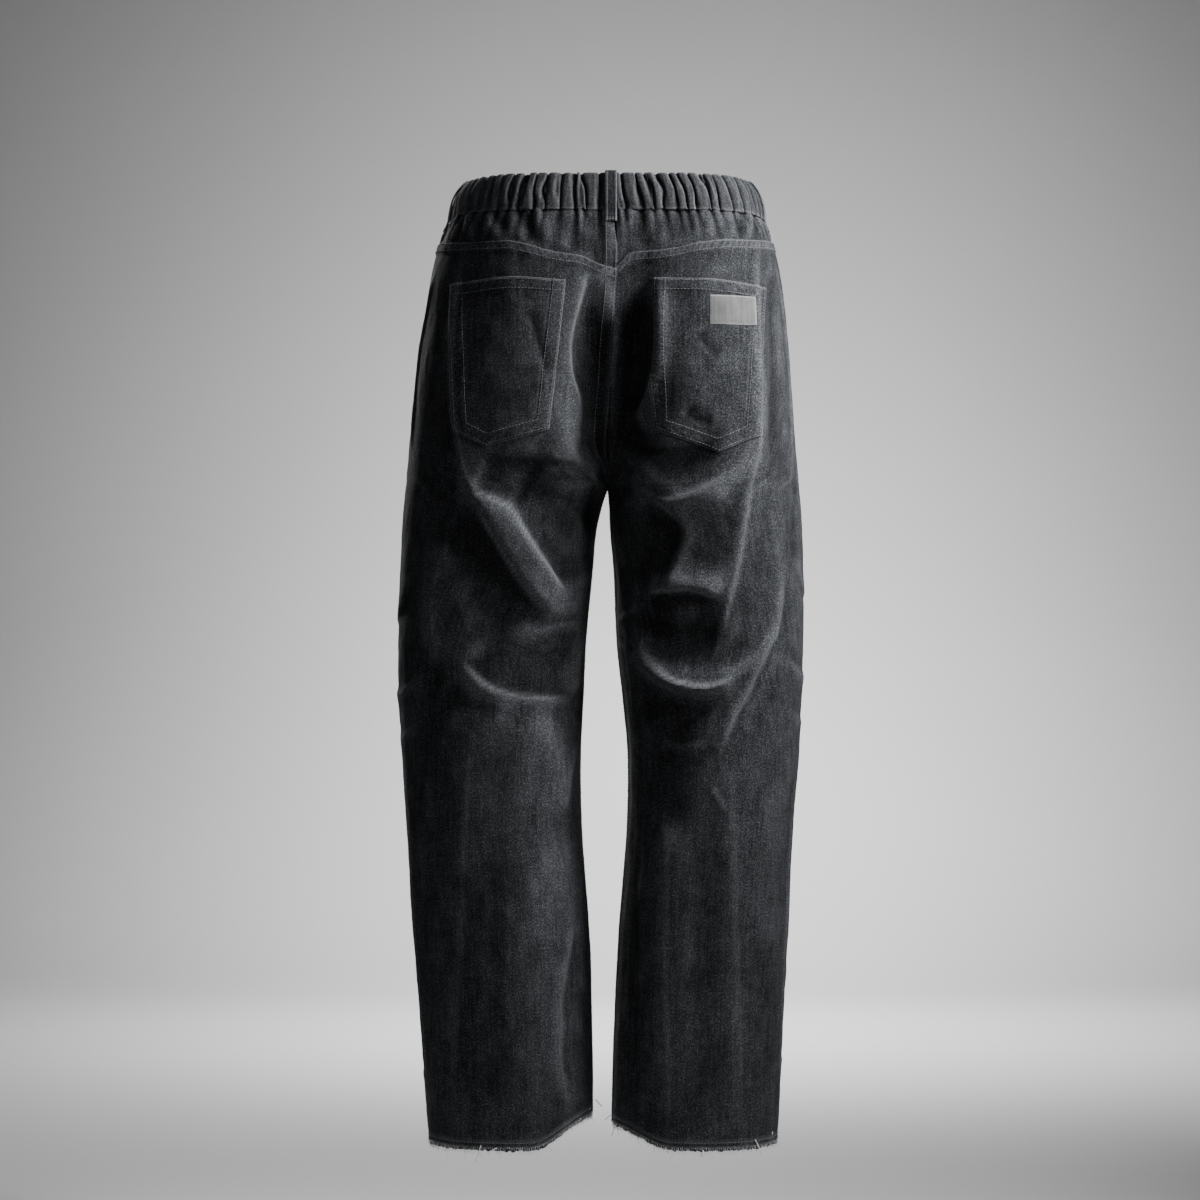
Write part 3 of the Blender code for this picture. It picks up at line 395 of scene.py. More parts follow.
class Skin:
    """One side of the jeans, as points by share of the way round and level."""

    def __init__(self, side: str) -> None:
        """Works out the level sections.

        Args:
            side: "left" or "right", the wearer's.
        """
        self.side = side
        self.sign = 1.0 if side == "left" else -1.0
        self.levels = np.linspace(SECTIONS[-1][0], SECTIONS[0][0], FRAME_STEPS)
        shares = np.linspace(0, 1, ROUND_STEPS + 1)
        self.table = np.zeros((FRAME_STEPS, ROUND_STEPS + 1, 2))
        self.around = np.zeros(FRAME_STEPS)
        self.widest = np.zeros(FRAME_STEPS)
        self.yoke_line: list[Grid] = []
        for k, level in enumerate(self.levels):
            points = self.section(level)
            lengths = passed_along(points)
            self.around[k] = lengths[-1]
            self.widest[k] = lengths[ROUND_STEPS // 4 * 2] / lengths[-1]
            for axis in range(2):
                self.table[k, :, axis] = np.interp(shares * lengths[-1], lengths, points[:, axis])

    def section(self, level: float) -> Grid:
        """One level section from the centre back or inseam round to the centre front.

        Args:
            level: its height.

        Returns:
            Its points, one (x, y) a row.
        """
        widest = np.array([column("out_" + self.side, level), curve_through(*zip(*SIDE_DEPTH), level)])
        reach = ARC_HANDLE * FULLNESS
        steps = np.linspace(0, 1, ROUND_STEPS // 4 + 1)
        x_axis, y_axis = np.array([1.0, 0.0]), np.array([0.0, 1.0])

        def half(face: str, inmost: str, curve: float, outward: Grid) -> tuple[Grid, Grid]:
            """The two arcs of the back or front: out to its fullest point, and on to the widest."""
            if level > CROTCH:
                up = min((level - CROTCH) / curve, 1.0)
                depth = CROTCH_DEPTH + (column(inmost, level) - CROTCH_DEPTH) * math.sqrt(1 - (1 - up) ** 2)
                start, turn = np.array([0.0, depth]), math.pi / 2 * (1 - up) ** 1.5
            else:
                depth = curve_through(*zip(*INSEAM_DEPTH), level)
                start, turn = np.array([max(float(column("in_" + self.side, level)), 0.2), depth]), math.pi / 2
            fullest = np.array([column(face + "_at", level), column(face, level)])
            dx, dy = np.abs(fullest - start)
            lead = x_axis * math.cos(turn) + outward * math.sin(turn)
            first = reach * (math.cos(turn) * dx + math.sin(turn) * dy)
            inner = bezier(start, start + lead * first, fullest - x_axis * reach * dx, fullest, steps)
            dx, dy = widest - fullest
            return inner, bezier(fullest, fullest + x_axis * reach * dx, widest - y_axis * reach * dy, widest, steps)

        back, front = half("back", "seat", SEAT_CURVE, y_axis), half("front", "belly", FLY_CURVE, -y_axis)
        return np.concatenate([back[0], back[1][1:], front[1][::-1][1:], front[0][::-1][1:]])

    def length_around(self, level: Any) -> Grid:
        """Length of the half section at a level."""
        return np.interp(level, self.levels, self.around)

    def side_seam(self, level: Any) -> Grid:
        """Share of the way round at which the side seam lies."""
        return np.interp(level, self.levels, self.widest) + SIDE_SEAM_FORWARD / self.length_around(level)

    def flat_point(self, share: Any, level: Any) -> Grid:
        """Points of the skin before its folds.

        Args:
            share: share of the way round.
            level: height before the waist's tilt.

        Returns:
            Points, not yet mirrored.
        """
        share, level = np.broadcast_arrays(np.asarray(share, float), np.asarray(level, float))
        share = np.where(level < CROTCH, share % 1.0, np.clip(share, 0, 1))
        across = share * ROUND_STEPS
        up = np.clip(level, self.levels[0], self.levels[-1]) - self.levels[0]
        up = up / (self.levels[1] - self.levels[0])
        i = np.clip(across.astype(int), 0, ROUND_STEPS - 1)
        k = np.clip(up.astype(int), 0, FRAME_STEPS - 2)
        u, v = (across - i)[..., None], (up - k)[..., None]
        flat = (self.table[k, i] * (1 - u) + self.table[k, i + 1] * u) * (1 - v) + (
            self.table[k + 1, i] * (1 - u) + self.table[k + 1, i + 1] * u
        ) * v
        x, y = flat[..., 0], flat[..., 1]
        tilt = (TILT_SLOPE * y - TILT_SAG * y * y) * smoothstep((level + 200.0) / 180.0)
        return np.stack([x, y, level + tilt], axis=-1)

    def flat_normal(self, share: Grid, level: Grid) -> Grid:
        """Outward direction of the skin before its folds."""
        step, drop = 0.006, 3.0
        low = np.where(level < CROTCH, share - step, np.clip(share - step, 0, 1))
        high = np.where(level < CROTCH, share + step, np.clip(share + step, 0, 1))
        round_way = self.flat_point(high, level) - self.flat_point(low, level)
        down_to = np.where((level > CROTCH) & (level - drop < CROTCH), level, level - drop)
        up_to = np.where((level < CROTCH) & (level + drop > CROTCH), level, level + drop)
        up = self.flat_point(share, up_to) - self.flat_point(share, down_to)
        return -unit(np.cross(round_way, up))

    def fold_height(self, point: Grid, out: Grid, calm: Grid) -> Grid:
        """How far the largest folds move a place out of the plain skin.

        Args:
            point: points of the plain skin.
            out: its outward directions.
            calm: 1 where folds are free, 0 where a seam holds them down.

        Returns:
            The height of the folds.
        """
        height = np.zeros(point.shape[:-1])
        for (side, face), folds in FOLDS.items():
            if side != self.side:
                continue
            faces = out[..., 1] if face == "back" else -out[..., 1]
            facing = smoothstep((faces - FOLD_FACING[0]) / FOLD_FACING[1]) * calm
            for x0, z0, x1, z1, bow, width, tall in folds:
                run, rise, length = x1 - x0, z1 - z0, math.hypot(x1 - x0, z1 - z0)
                dx, dz = point[..., 0] - x0, point[..., 2] - z0
                along = (dx * run + dz * rise) / length**2
                beside = (dx * rise - dz * run) / length - bow * 4 * along * (1 - along)
                ends = smoothstep((along + FOLD_RUN_OUT) / FOLD_END)
                ends = ends * smoothstep((1 + FOLD_RUN_OUT - along) / FOLD_END)
                height += tall * facing * ends * bump(beside, width)
        return height

    def crease_height(self, point: Grid, out: Grid, calm: Grid) -> tuple[Grid, Grid]:
        """How far the finer creases move a place, and how pale wear has made them.

        Args:
            point: points of the plain skin.
            out: its outward directions.
            calm: 1 where creases are free, 0 where a seam holds them down.

        Returns:
            The height of the creases, and their wear from 0 to 1.
        """
        height = np.zeros(point.shape[:-1])
        worn = np.zeros(point.shape[:-1])
        for crease in CREASES:
            if crease.side != self.side:
                continue
            if crease.face is Face.SIDE:
                first, faces = point[..., 1], out[..., 0]
            else:
                first = point[..., 0] * (-1.0 if self.side == "left" else 1.0)
                faces = out[..., 1] if crease.face is Face.BACK else -out[..., 1]
            line = smooth_line(crease.line)
            reach = 3.0 * max(crease.left, crease.right)
            low, high = line.min(axis=0) - reach, line.max(axis=0) + reach
            near = (first > low[0]) & (first < high[0]) & (point[..., 2] > low[1]) & (point[..., 2] < high[1])
            near &= faces > 0.02
            if not near.any():
                continue
            away, share = line_distance(line, first[near], point[..., 2][near])
            width = np.where(away > 0, crease.left, crease.right)
            ends = smoothstep(share / 0.22 + 0.12) * smoothstep((1 - share) / 0.22 + 0.12)
            shape = bump(away, width) * ends * calm[near] * smoothstep(faces[near] / 0.35)
            height[near] += (crease.height - crease.step * np.tanh(away / CREASE_EDGE)) * shape
            worn[near] = np.maximum(worn[near], 0.07 * abs(crease.step) * bump(away, 2.2) * ends)
        return height, worn

    def lean(self, point: Grid, level: Grid) -> Grid:
        """Mirrors a side's points into their place and leans the centre back seam.

        Args:
            point: points of one side, before it is mirrored.
            level: their levels.

        Returns:
            The points in their place.
        """
        point = point.copy()
        centre = np.where(level > CROTCH - 2.0, np.maximum(point[..., 0], SEAM_GAP / 4), point[..., 0])
        point[..., 0] = centre
        inner = np.clip(1 - (centre / column("out_" + self.side, level)) ** 2, 0, 1)
        shift = curve_through(*zip(*SEAM_LEAN), level) * inner * smoothstep(point[..., 1] / LEAN_DEPTH)
        point[..., 0] = point[..., 0] * self.sign + np.where(level > CROTCH, shift, 0.0)
        return point


@dataclass
class Drape:
    """Places on a folded skin: a grid of points with their outward directions, ready to be moved out."""

    point: Grid
    out: Grid
    height: Grid
    worn: Grid

    def moved(self, lift: Any) -> Grid:
        """Points at some height over the folded skin."""
        return self.point + self.out * np.asarray(lift)[..., None]


def grid_normals(points: Grid, like: Grid) -> Grid:
    """Outward directions of a grid of points.

    Args:
        points: rows by columns of points.
        like: rough outward directions.

    Returns:
        Unit directions on the same side.
    """
    out = np.cross(np.gradient(points, axis=1), np.gradient(points, axis=0))
    out /= np.maximum(np.linalg.norm(out, axis=-1, keepdims=True), 1e-9)
    return out * np.sign(np.sum(out * like, axis=-1, keepdims=True))


def drape(skin: Skin, share: Grid, level: Grid, strength: float = 1.0) -> Drape:
    """Lays a grid on the folded skin.

    Args:
        skin: the side it lies on.
        share: the grid's shares of the way round.
        level: its levels.
        strength: how much of the finer creases it takes.

    Returns:
        The grid's points and outward directions in their place.
    """
    flat = skin.flat_point(share, level)
    out = skin.flat_normal(share, level)
    from_inseam = np.minimum(share, 1 - share) * skin.length_around(level)
    on_leg = smoothstep((CROTCH + INSEAM_CALM - level) / INSEAM_CALM)
    calm = 1 - on_leg * (1 - smoothstep(from_inseam / INSEAM_CALM))
    fine_calm = 1 - on_leg * (1 - smoothstep(from_inseam / (0.3 * INSEAM_CALM)))
    height = skin.fold_height(flat, out, calm)
    fine, worn = skin.crease_height(flat, out, fine_calm)
    height = height + strength * fine
    point = skin.lean(flat + out * height[..., None], level)
    placed_out = out * np.array([skin.sign, 1.0, 1.0])
    if min(point.shape[:2]) > 2:
        placed_out = grid_normals(point, placed_out)
    return Drape(point, placed_out, height, worn)


def yoke_seam(skin: Skin, part_round: Grid) -> Grid:
    """Level of the yoke seam, from the centre back (0) to the side seam (1)."""
    if not skin.yoke_line:
        x, z = np.array(YOKE_LINES[skin.side], float).T
        share, level = skin_places(skin, x * skin.sign, z)
        parts = share / skin.side_seam(level)
        parts[0] = 0.0
        skin.yoke_line = [np.append(parts, 1.0), np.append(level, level[-1] + 1.5)]
    fine = np.linspace(0, 1, 201)
    level = np.interp(fine, *skin.yoke_line)
    level = np.convolve(np.pad(level, 5, mode="edge"), np.ones(11) / 11, mode="valid")
    return np.interp(part_round, fine, level)


def hem_level(skin: Skin, share: Grid) -> Grid:
    """Level of the raw edge, higher at the inseam."""
    x = skin.flat_point(share, HEM)[..., 0]
    inner = skin.flat_point(0.0, HEM)[..., 0]
    return HEM + HEM_RISE[skin.side] * (1 - smoothstep((x - inner) / HEM_RISE_WIDTH))


def softened(values: Grid, steps: float) -> Grid:
    """A grid of values blurred along both ways.

    Args:
        values: the grid.
        steps: width of the blur, in grid steps.

    Returns:
        The blurred grid.
    """
    reach = int(3 * steps)
    kernel = np.exp(-0.5 * (np.arange(-reach, reach + 1) / steps) ** 2)
    kernel /= kernel.sum()
    for axis in (0, 1):
        padded = np.pad(values, [(reach, reach) if a == axis else (0, 0) for a in (0, 1)], mode="edge")
        values = np.apply_along_axis(lambda row: np.convolve(row, kernel, mode="valid"), axis, padded)
    return values


def linked(name: str, mesh: Mesh) -> Object:
    """Makes an object of a mesh and puts it in the scene."""
    obj = bpy.data.objects.new(name, mesh)
    bpy.context.scene.collection.objects.link(obj)
    return obj


def new_mesh(name: str, points: Any, edges: Any, faces: Any) -> Mesh:
    """Makes a mesh of points in millimetres, edges and faces."""
    mesh = bpy.data.meshes.new(name)
    mesh.from_pydata((np.asarray(points) * MM).tolist(), edges, faces)
    return mesh


def mark_cloth(mesh: Mesh, uv: Grid, marks: dict[str, Grid]) -> None:
    """Gives a mesh its places on the cloth and the values that its material reads.

    Args:
        mesh: the mesh.
        uv: each vertex's place on the cloth, in millimetres.
        marks: each vertex's values, by attribute name.
    """
    corners = np.zeros(len(mesh.loops), dtype=np.int32)
    mesh.loops.foreach_get("vertex_index", corners)
    places = uv.reshape(-1, 2)[corners] * MM
    mesh.uv_layers.new(name="cloth").data.foreach_set("uv", places.reshape(-1).astype(np.float32))
    for key, values in marks.items():
        attribute = mesh.attributes.new(key, "FLOAT", "POINT")
        attribute.data.foreach_set("value", values.reshape(-1).astype(np.float32))


def shell_object(
    name: str, walls: tuple[Grid, Grid], uv: Grid, marks: dict[str, Grid], materials: Sequence[Material],
    closed: bool = False,
) -> Object:
    """Makes a closed wall of cloth between two grids.

    Args:
        name: the object's name.
        walls: rows by columns of outer points and of inner points, in millimetres.
        uv: rows by columns of places on the cloth, in millimetres.
        marks: values on the grid that the material reads, by attribute name.
        materials: the outside's and the inside's.
        closed: the grid closes on itself.

    Returns:
        The object, at the origin.
    """
    rows, columns = walls[0].shape[:2]
    outer, inner = (wall.reshape(-1, 3) for wall in walls)
    count = rows * columns
    index = np.arange(count).reshape(rows, columns)
    right = np.roll(index, -1, axis=1) if closed else index[:, 1:]
    here = index if closed else index[:, :-1]
    quads = np.stack([here[:-1], right[:-1], right[1:], here[1:]], axis=-1).reshape(-1, 4)
    first = quads[len(quads) // 2]
    turn = np.cross(outer[first[1]] - outer[first[0]], outer[first[3]] - outer[first[0]])
    flipped = np.dot(turn, outer[first[0]] - inner[first[0]]) < 0
    if flipped:
        quads = quads[:, ::-1]
    rims = [
        (here[0], here[0] + count, right[0] + count, right[0]),
        (here[-1], right[-1], right[-1] + count, here[-1] + count),
    ]
    if not closed:
        near, far = index[:, 0], index[:, -1]
        rims.append((near[:-1], near[1:], near[1:] + count, near[:-1] + count))
        rims.append((far[:-1], far[:-1] + count, far[1:] + count, far[1:]))
    edges = [np.stack(rim[::-1] if flipped else rim, axis=-1) for rim in rims]
    faces = np.concatenate([quads, quads[:, ::-1] + count] + edges)
    mesh = new_mesh(name, np.concatenate([outer, inner]), [], faces.tolist())
    for material in materials:
        mesh.materials.append(material)
    inside = np.zeros(len(faces), dtype=np.int32)
    inside[len(quads):2 * len(quads)] = len(materials) - 1
    mesh.polygons.foreach_set("material_index", inside)
    mark_cloth(mesh, np.tile(uv.reshape(-1, 2), (2, 1)), {key: np.tile(m.reshape(-1), 2) for key, m in marks.items()})
    mesh.shade_smooth()
    mesh.set_sharp_from_angle(angle=math.radians(50))
    mesh.validate()
    return linked(name, mesh)


def raised_mark(height: Grid, steps: float = 3.0, full: float = 0.5) -> Grid:
    """How far a grid stands over its neighbourhood, from -1 in hollows to 1 on ridges."""
    return np.clip((height - softened(height, steps)) / full, -1.0, 1.0)


def cloth_places(points: Grid) -> Grid:
    """Places on the cloth for a grid: lengths along its rows, and heights."""
    round_way = np.linalg.norm(np.diff(points, axis=1), axis=-1)
    u = np.concatenate([np.zeros((len(points), 1)), np.cumsum(round_way, axis=1)], axis=1)
    return np.stack([u, -points[..., 2]], axis=-1)


def edged(steps: int, *extra: float) -> Grid:
    """Even steps from 0 to 1, with more of them close to the edges."""
    return np.sort(np.concatenate([np.linspace(0, 1, steps + 1), extra]))


def roping(along: Grid, pitch: float, shift: Any = 0.0) -> Grid:
    """The slanted waves that a lapped seam takes in the wash."""
    return np.sin(2 * math.pi * along / pitch + shift)


def lapped(distance: Grid, width: float) -> Grid:
    """1 on a seam's lap, 0 beside it."""
    return smoothstep((width + 1.0 - distance) / 2.0)


class Gather(NamedTuple):
    """One gather of the waistband: where it starts, how wide and deep it is, and how its line leans."""

    start: float
    width: float
    depth: float
    crest: float
    lean: float
    tail: float


@dataclass
class Gathers:
    """The gathers of the waistband and the puckers that run on below them."""

    a_side: int = 18
    crest: float = 2.3
    valley: float = -3.0

    def __post_init__(self) -> None:
        """Draws the gathers of each side, back and front."""
        self.halves: dict[tuple[str, str], list[Gather]] = {}
        draw = np.random.default_rng(41)
        for face in ("back", "front"):
            for side in ("left", "right"):
                widths = draw.uniform(0.6, 1.35, self.a_side)
                edges = np.concatenate([[0.0], np.cumsum(widths)]) / widths.sum()
                self.halves[(face, side)] = [
                    Gather(
                        start=edges[k],
                        width=edges[k + 1] - edges[k],
                        depth=draw.uniform(0.55, 1.0),
                        crest=draw.uniform(0.72, 1.05),
                        lean=draw.uniform(-0.32, 0.32),
                        tail=draw.uniform(8.0, 46.0),
                    )
                    for k in range(self.a_side)
                ]

    @staticmethod
    def reach(skin: Skin, face: str) -> tuple[float, float]:
        """Shares of the way round at which a half of the band starts and ends."""
        return (0.0 if face == "back" else 1.0), float(skin.side_seam(0.0))

    def puckers(self, skin: Skin, face: str, share: Grid, below: Grid) -> Grid:
        """Height of the puckers that the gathers leave in the cloth below the band.

        Args:
            skin: the side.
            face: "back" or "front".
            share: shares of the way round.
            below: distance below the band.

        Returns:
            Heights in millimetres.
        """
        start, end = self.reach(skin, face)
        part = (share - start) / (end - start)
        length = abs(end - start) * float(skin.length_around(BAND_BOTTOM))
        height = np.zeros(share.shape)
        width = 1.7 + 0.08 * below
        for gather in self.halves[(face, skin.side)]:
            beside = (part - gather.start) * length + gather.lean * 0.12 * below
            fade = np.exp(-np.maximum(below, 0.0) / gather.tail)
            height -= 3.0 * gather.depth * fade * bump(beside, width)
            height += 0.8 * gather.crest * fade * bump(beside - 0.5 * gather.width * length, 2.2 * width)
        return height


@dataclass
class Panel:
    """A panel of denim between the centre, or the inseam, and the side seam."""

    skin: Skin
    face: str
    gathers: Gathers
    finish: "Finishes"
    lap: float = 9.5
    centre_lap: float = 13.0
    lap_height: float = 0.85

    def lay(self, parts: Grid, top: Grid) -> None:
        """Places the grid and measures how far it is from the panel's edges.

        Args:
            parts: shares of the way from the centre to the side seam, by column.
            top: level of its upper edge, by column.
        """
        seam, length = self.skin.side_seam(self.level), self.skin.length_around(self.level)
        margin = SEAM_GAP / 4 / length
        if self.face == "back":
            self.share = margin + parts * (seam - 2 * margin)
        else:
            self.share = 1 - margin - parts * (1 - seam - 2 * margin)
        self.from_side = np.abs(self.share - seam) * length
        self.from_centre = (self.share if self.face == "back" else 1 - self.share) * length
        self.from_top = top - self.level

    def shell(self, relief: Grid, worn: Grid, hollow: float, marks: Sequence[float]) -> Object:
        """Makes the panel's cloth.

        Args:
            relief: height over the folded skin.
            worn: wear from 0 to 1.
            hollow: share of the relief that the inside has too.
            marks: blur and full height of the ridges' mark, then of the painted hollow shade's.

        Returns:
            The panel.
        """
        laid = drape(self.skin, self.share, self.level)
        height = laid.height + relief
        values = {
            "wear_and_highlight": np.clip(np.clip(worn, 0, 1) + laid.worn, 0, 1),
            "ridge": raised_mark(height, *marks[:2]),
            # The fade mark is painted shade: darker in hollows of the relief, paler on its ridges, where the paleness
            # stands for wear.
            "fade": raised_mark(height, *marks[2:]),
        }
        walls = laid.moved(relief), laid.moved(relief * hollow - CLOTH)
        materials = self.finish.denim, self.finish.denim_inside
        return shell_object(self.name, walls, cloth_places(laid.point), values, materials)


@dataclass
class LegPanel(Panel):
    """Back or front of one leg, with its lapped seams, creases and raw hem."""

    columns: int = 104
    rows: tuple[int, int] = (88, 196)
    hem_bend: float = -540.0

    def __post_init__(self) -> None:
        """Lays out the panel's grid."""
        self.name = f"{self.face}_leg_{self.skin.side}"
        parts = edged(self.columns, 0.012, 1 - 0.012)
        seam_at_hem = float(self.skin.side_seam(HEM))
        back = self.face == "back"
        shares = parts * seam_at_hem if back else 1 - parts * (1 - seam_at_hem)
        start = yoke_seam(self.skin, parts) if back else np.full(parts.shape, BAND_BOTTOM - SEAM_GAP)
        hem = hem_level(self.skin, shares)
        towards_side = smoothstep(parts / 0.5)
        upper = edged(self.rows[0], 0.004, 0.012)[:, None]
        above = start + (CROTCH - start) * (np.sin(math.pi / 2 * upper) * (1 - towards_side) + upper * towards_side)
        lower = edged(self.rows[1], 1 - 0.0012, 1 - 0.0035)[1:, None]
        straight = CROTCH + (HEM - CROTCH) * lower
        bend = smoothstep((self.hem_bend - straight) / (self.hem_bend - HEM))
        below = straight + (hem - HEM) * lower * bend
        below[-1] = hem
        self.level = np.concatenate([above, below])
        self.lay(parts, start)
        self.from_hem = self.level - hem

    def build(self) -> Object:
        """Makes the panel."""
        relief, worn = self.relief()
        return self.shell(relief, worn, 0.4, (3.0, 0.5, 9.0, 2.2))

    def relief(self) -> tuple[Grid, Grid]:
        """Height of the seams, puckers and soft dents over the folded skin, and how worn they are.

        Returns:
            The height in millimetres and the wear from 0 to 1.
        """
        soft, fine = panel_ripples(self.skin, self.face)
        centre, side, down, hem = self.from_centre, self.from_side, -self.level, self.from_hem
        grain = 0.16 * soft.at(centre + 7, down, 6.5, 9.5) + 0.1 * fine.at(centre, down + 31, 3.6, 5.2)
        streaks = 0.18 * fine.at(centre + 50, down, 7.0, 70)
        quiet = smoothstep(side / 9.0) * smoothstep(centre / 9.0)
        height = panel_dents(soft, fine, centre, down) * quiet * smoothstep(hem / 10) + grain + streaks * quiet
        worn = np.zeros(height.shape)
        upper = smoothstep((self.level - CROTCH) / 6.0)
        leg = 1 - upper
        if self.face == "back":
            yoke_rope = roping(centre + 0.7 * self.from_top, 7.5, 2.5 * soft.at(centre, down, 30, 30))
            height += self.lap_height * lapped(self.from_top, self.lap) * smoothstep(self.from_top / 0.8 + 0.35)
            band = bump(self.from_top - 5.0, 3.4)
            height += 0.3 * yoke_rope * band
            worn += 0.4 * bump(self.from_top, 1.0) + 0.22 * np.clip(yoke_rope, 0, 1) * band
            rope = roping(down + 0.6 * centre, 8.5) * bump(centre - 5.0, 3.4)
            height += (self.lap_height * lapped(centre, self.lap) + 0.25 * rope) * leg
            worn += (0.35 * bump(centre - self.lap, 1.0) + 0.4 * bump(centre, 1.0)) * leg
        else:
            height += self.gathers.puckers(self.skin, self.face, self.share, self.from_top)
        if self.skin.side == "left" and self.face == "back":
            rope = roping(down + 0.8 * centre, 8.0) * bump(centre - 6.5, 4.0)
            height += (self.lap_height * lapped(centre, self.centre_lap) + 0.22 * rope) * upper
            worn += (0.14 * bump(centre - self.centre_lap, 1.0) + 0.16 * bump(centre, 1.0)) * upper
        elif self.skin.side == "left":
            height += self.lap_height * lapped(centre, self.lap) * upper
            worn += 0.4 * bump(centre - self.lap, 1.0) * upper
        rope = roping(down + 3.0 * soft.at(centre, down, 40, 40), 9.0)
        height += -0.55 * bump(side, 1.6) + 0.22 * rope * bump(side - 4.0, 4.0)
        worn += 0.3 * bump(side - 1.5, 1.4) * (0.6 + 0.4 * rope)
        height += 0.9 * np.exp(-hem / 9.0) * soft.at(centre, down, 16, 80) - 0.35 * bump(hem - 5.5, 1.3)
        worn += 0.75 * bump(hem, 1.8) + 0.25 * bump(hem - 6.5, 2.0)
        return height, worn


@dataclass
class Yoke(Panel):
    """Back yoke, puckered below the waistband."""

    columns: int = 150
    rows: int = 32

    def __post_init__(self) -> None:
        """Lays out the yoke's grid."""
        self.name = f"back_yoke_{self.skin.side}"
        parts = edged(self.columns)
        top = BAND_BOTTOM - SEAM_GAP
        low = yoke_seam(self.skin, parts)
        self.level = edged(self.rows)[:, None] * (low - top) + top
        self.lay(parts, np.full(parts.shape, top))
        self.from_seam = self.level - low

    def build(self) -> Object:
        """Makes the yoke.

        Returns:
            The yoke.
        """
        ripple = Ripple(60 if self.skin.side == "left" else 61)
        relief = self.gathers.puckers(self.skin, self.face, self.share, self.from_top)
        relief *= 1 - 0.8 * smoothstep((3.0 - self.from_seam) / 3.0)
        free = smoothstep(self.from_seam / 10.0)
        relief += (0.4 + 1.9 * free) * ripple.at(self.from_centre + 0.25 * self.from_top, -self.level, 13, 30)
        relief += 0.12 * ripple.at(self.from_centre, -self.level, 4.5, 6)
        relief -= 0.5 * bump(self.from_side, 1.6) + 1.0 * smoothstep(1 - self.from_top / 5.0)
        worn = np.zeros(relief.shape)
        if self.skin.side == "left":
            relief += self.lap_height * lapped(self.from_centre, self.centre_lap)
            worn += 0.35 * bump(self.from_centre - self.centre_lap, 1.0) + 0.5 * bump(self.from_centre, 1.0)
        return self.shell(relief, worn, 0.5, (2.5, 0.4, 6.0, 1.2))


# Round the casing from its lower outer edge: level, height over the skin (none on the gathers), share of the gathers
BAND_PROFILE = (
    (-18.0, None, 0.25), (-17.0, None, 0.5), (-15.5, None, 0.72), (-13.0, None, 0.9),
    *((level, None, 1.0) for level in (-10.0, -6.5, -3.0, 0.5, 4.0, 7.5, 10.5)),
    (13.0, None, 0.97), (15.2, None, 0.9), (16.8, None, 0.72), (17.8, None, 0.4),
    (18.2, -0.7, 0.3), (17.8, -2.0, 0.1), (16.6, -2.9, 0.0), (10.0, -2.9, 0.0), (0.0, -2.9, 0.0),
    (-10.0, -2.9, 0.0), (-18.0, -2.9, 0.0),
)


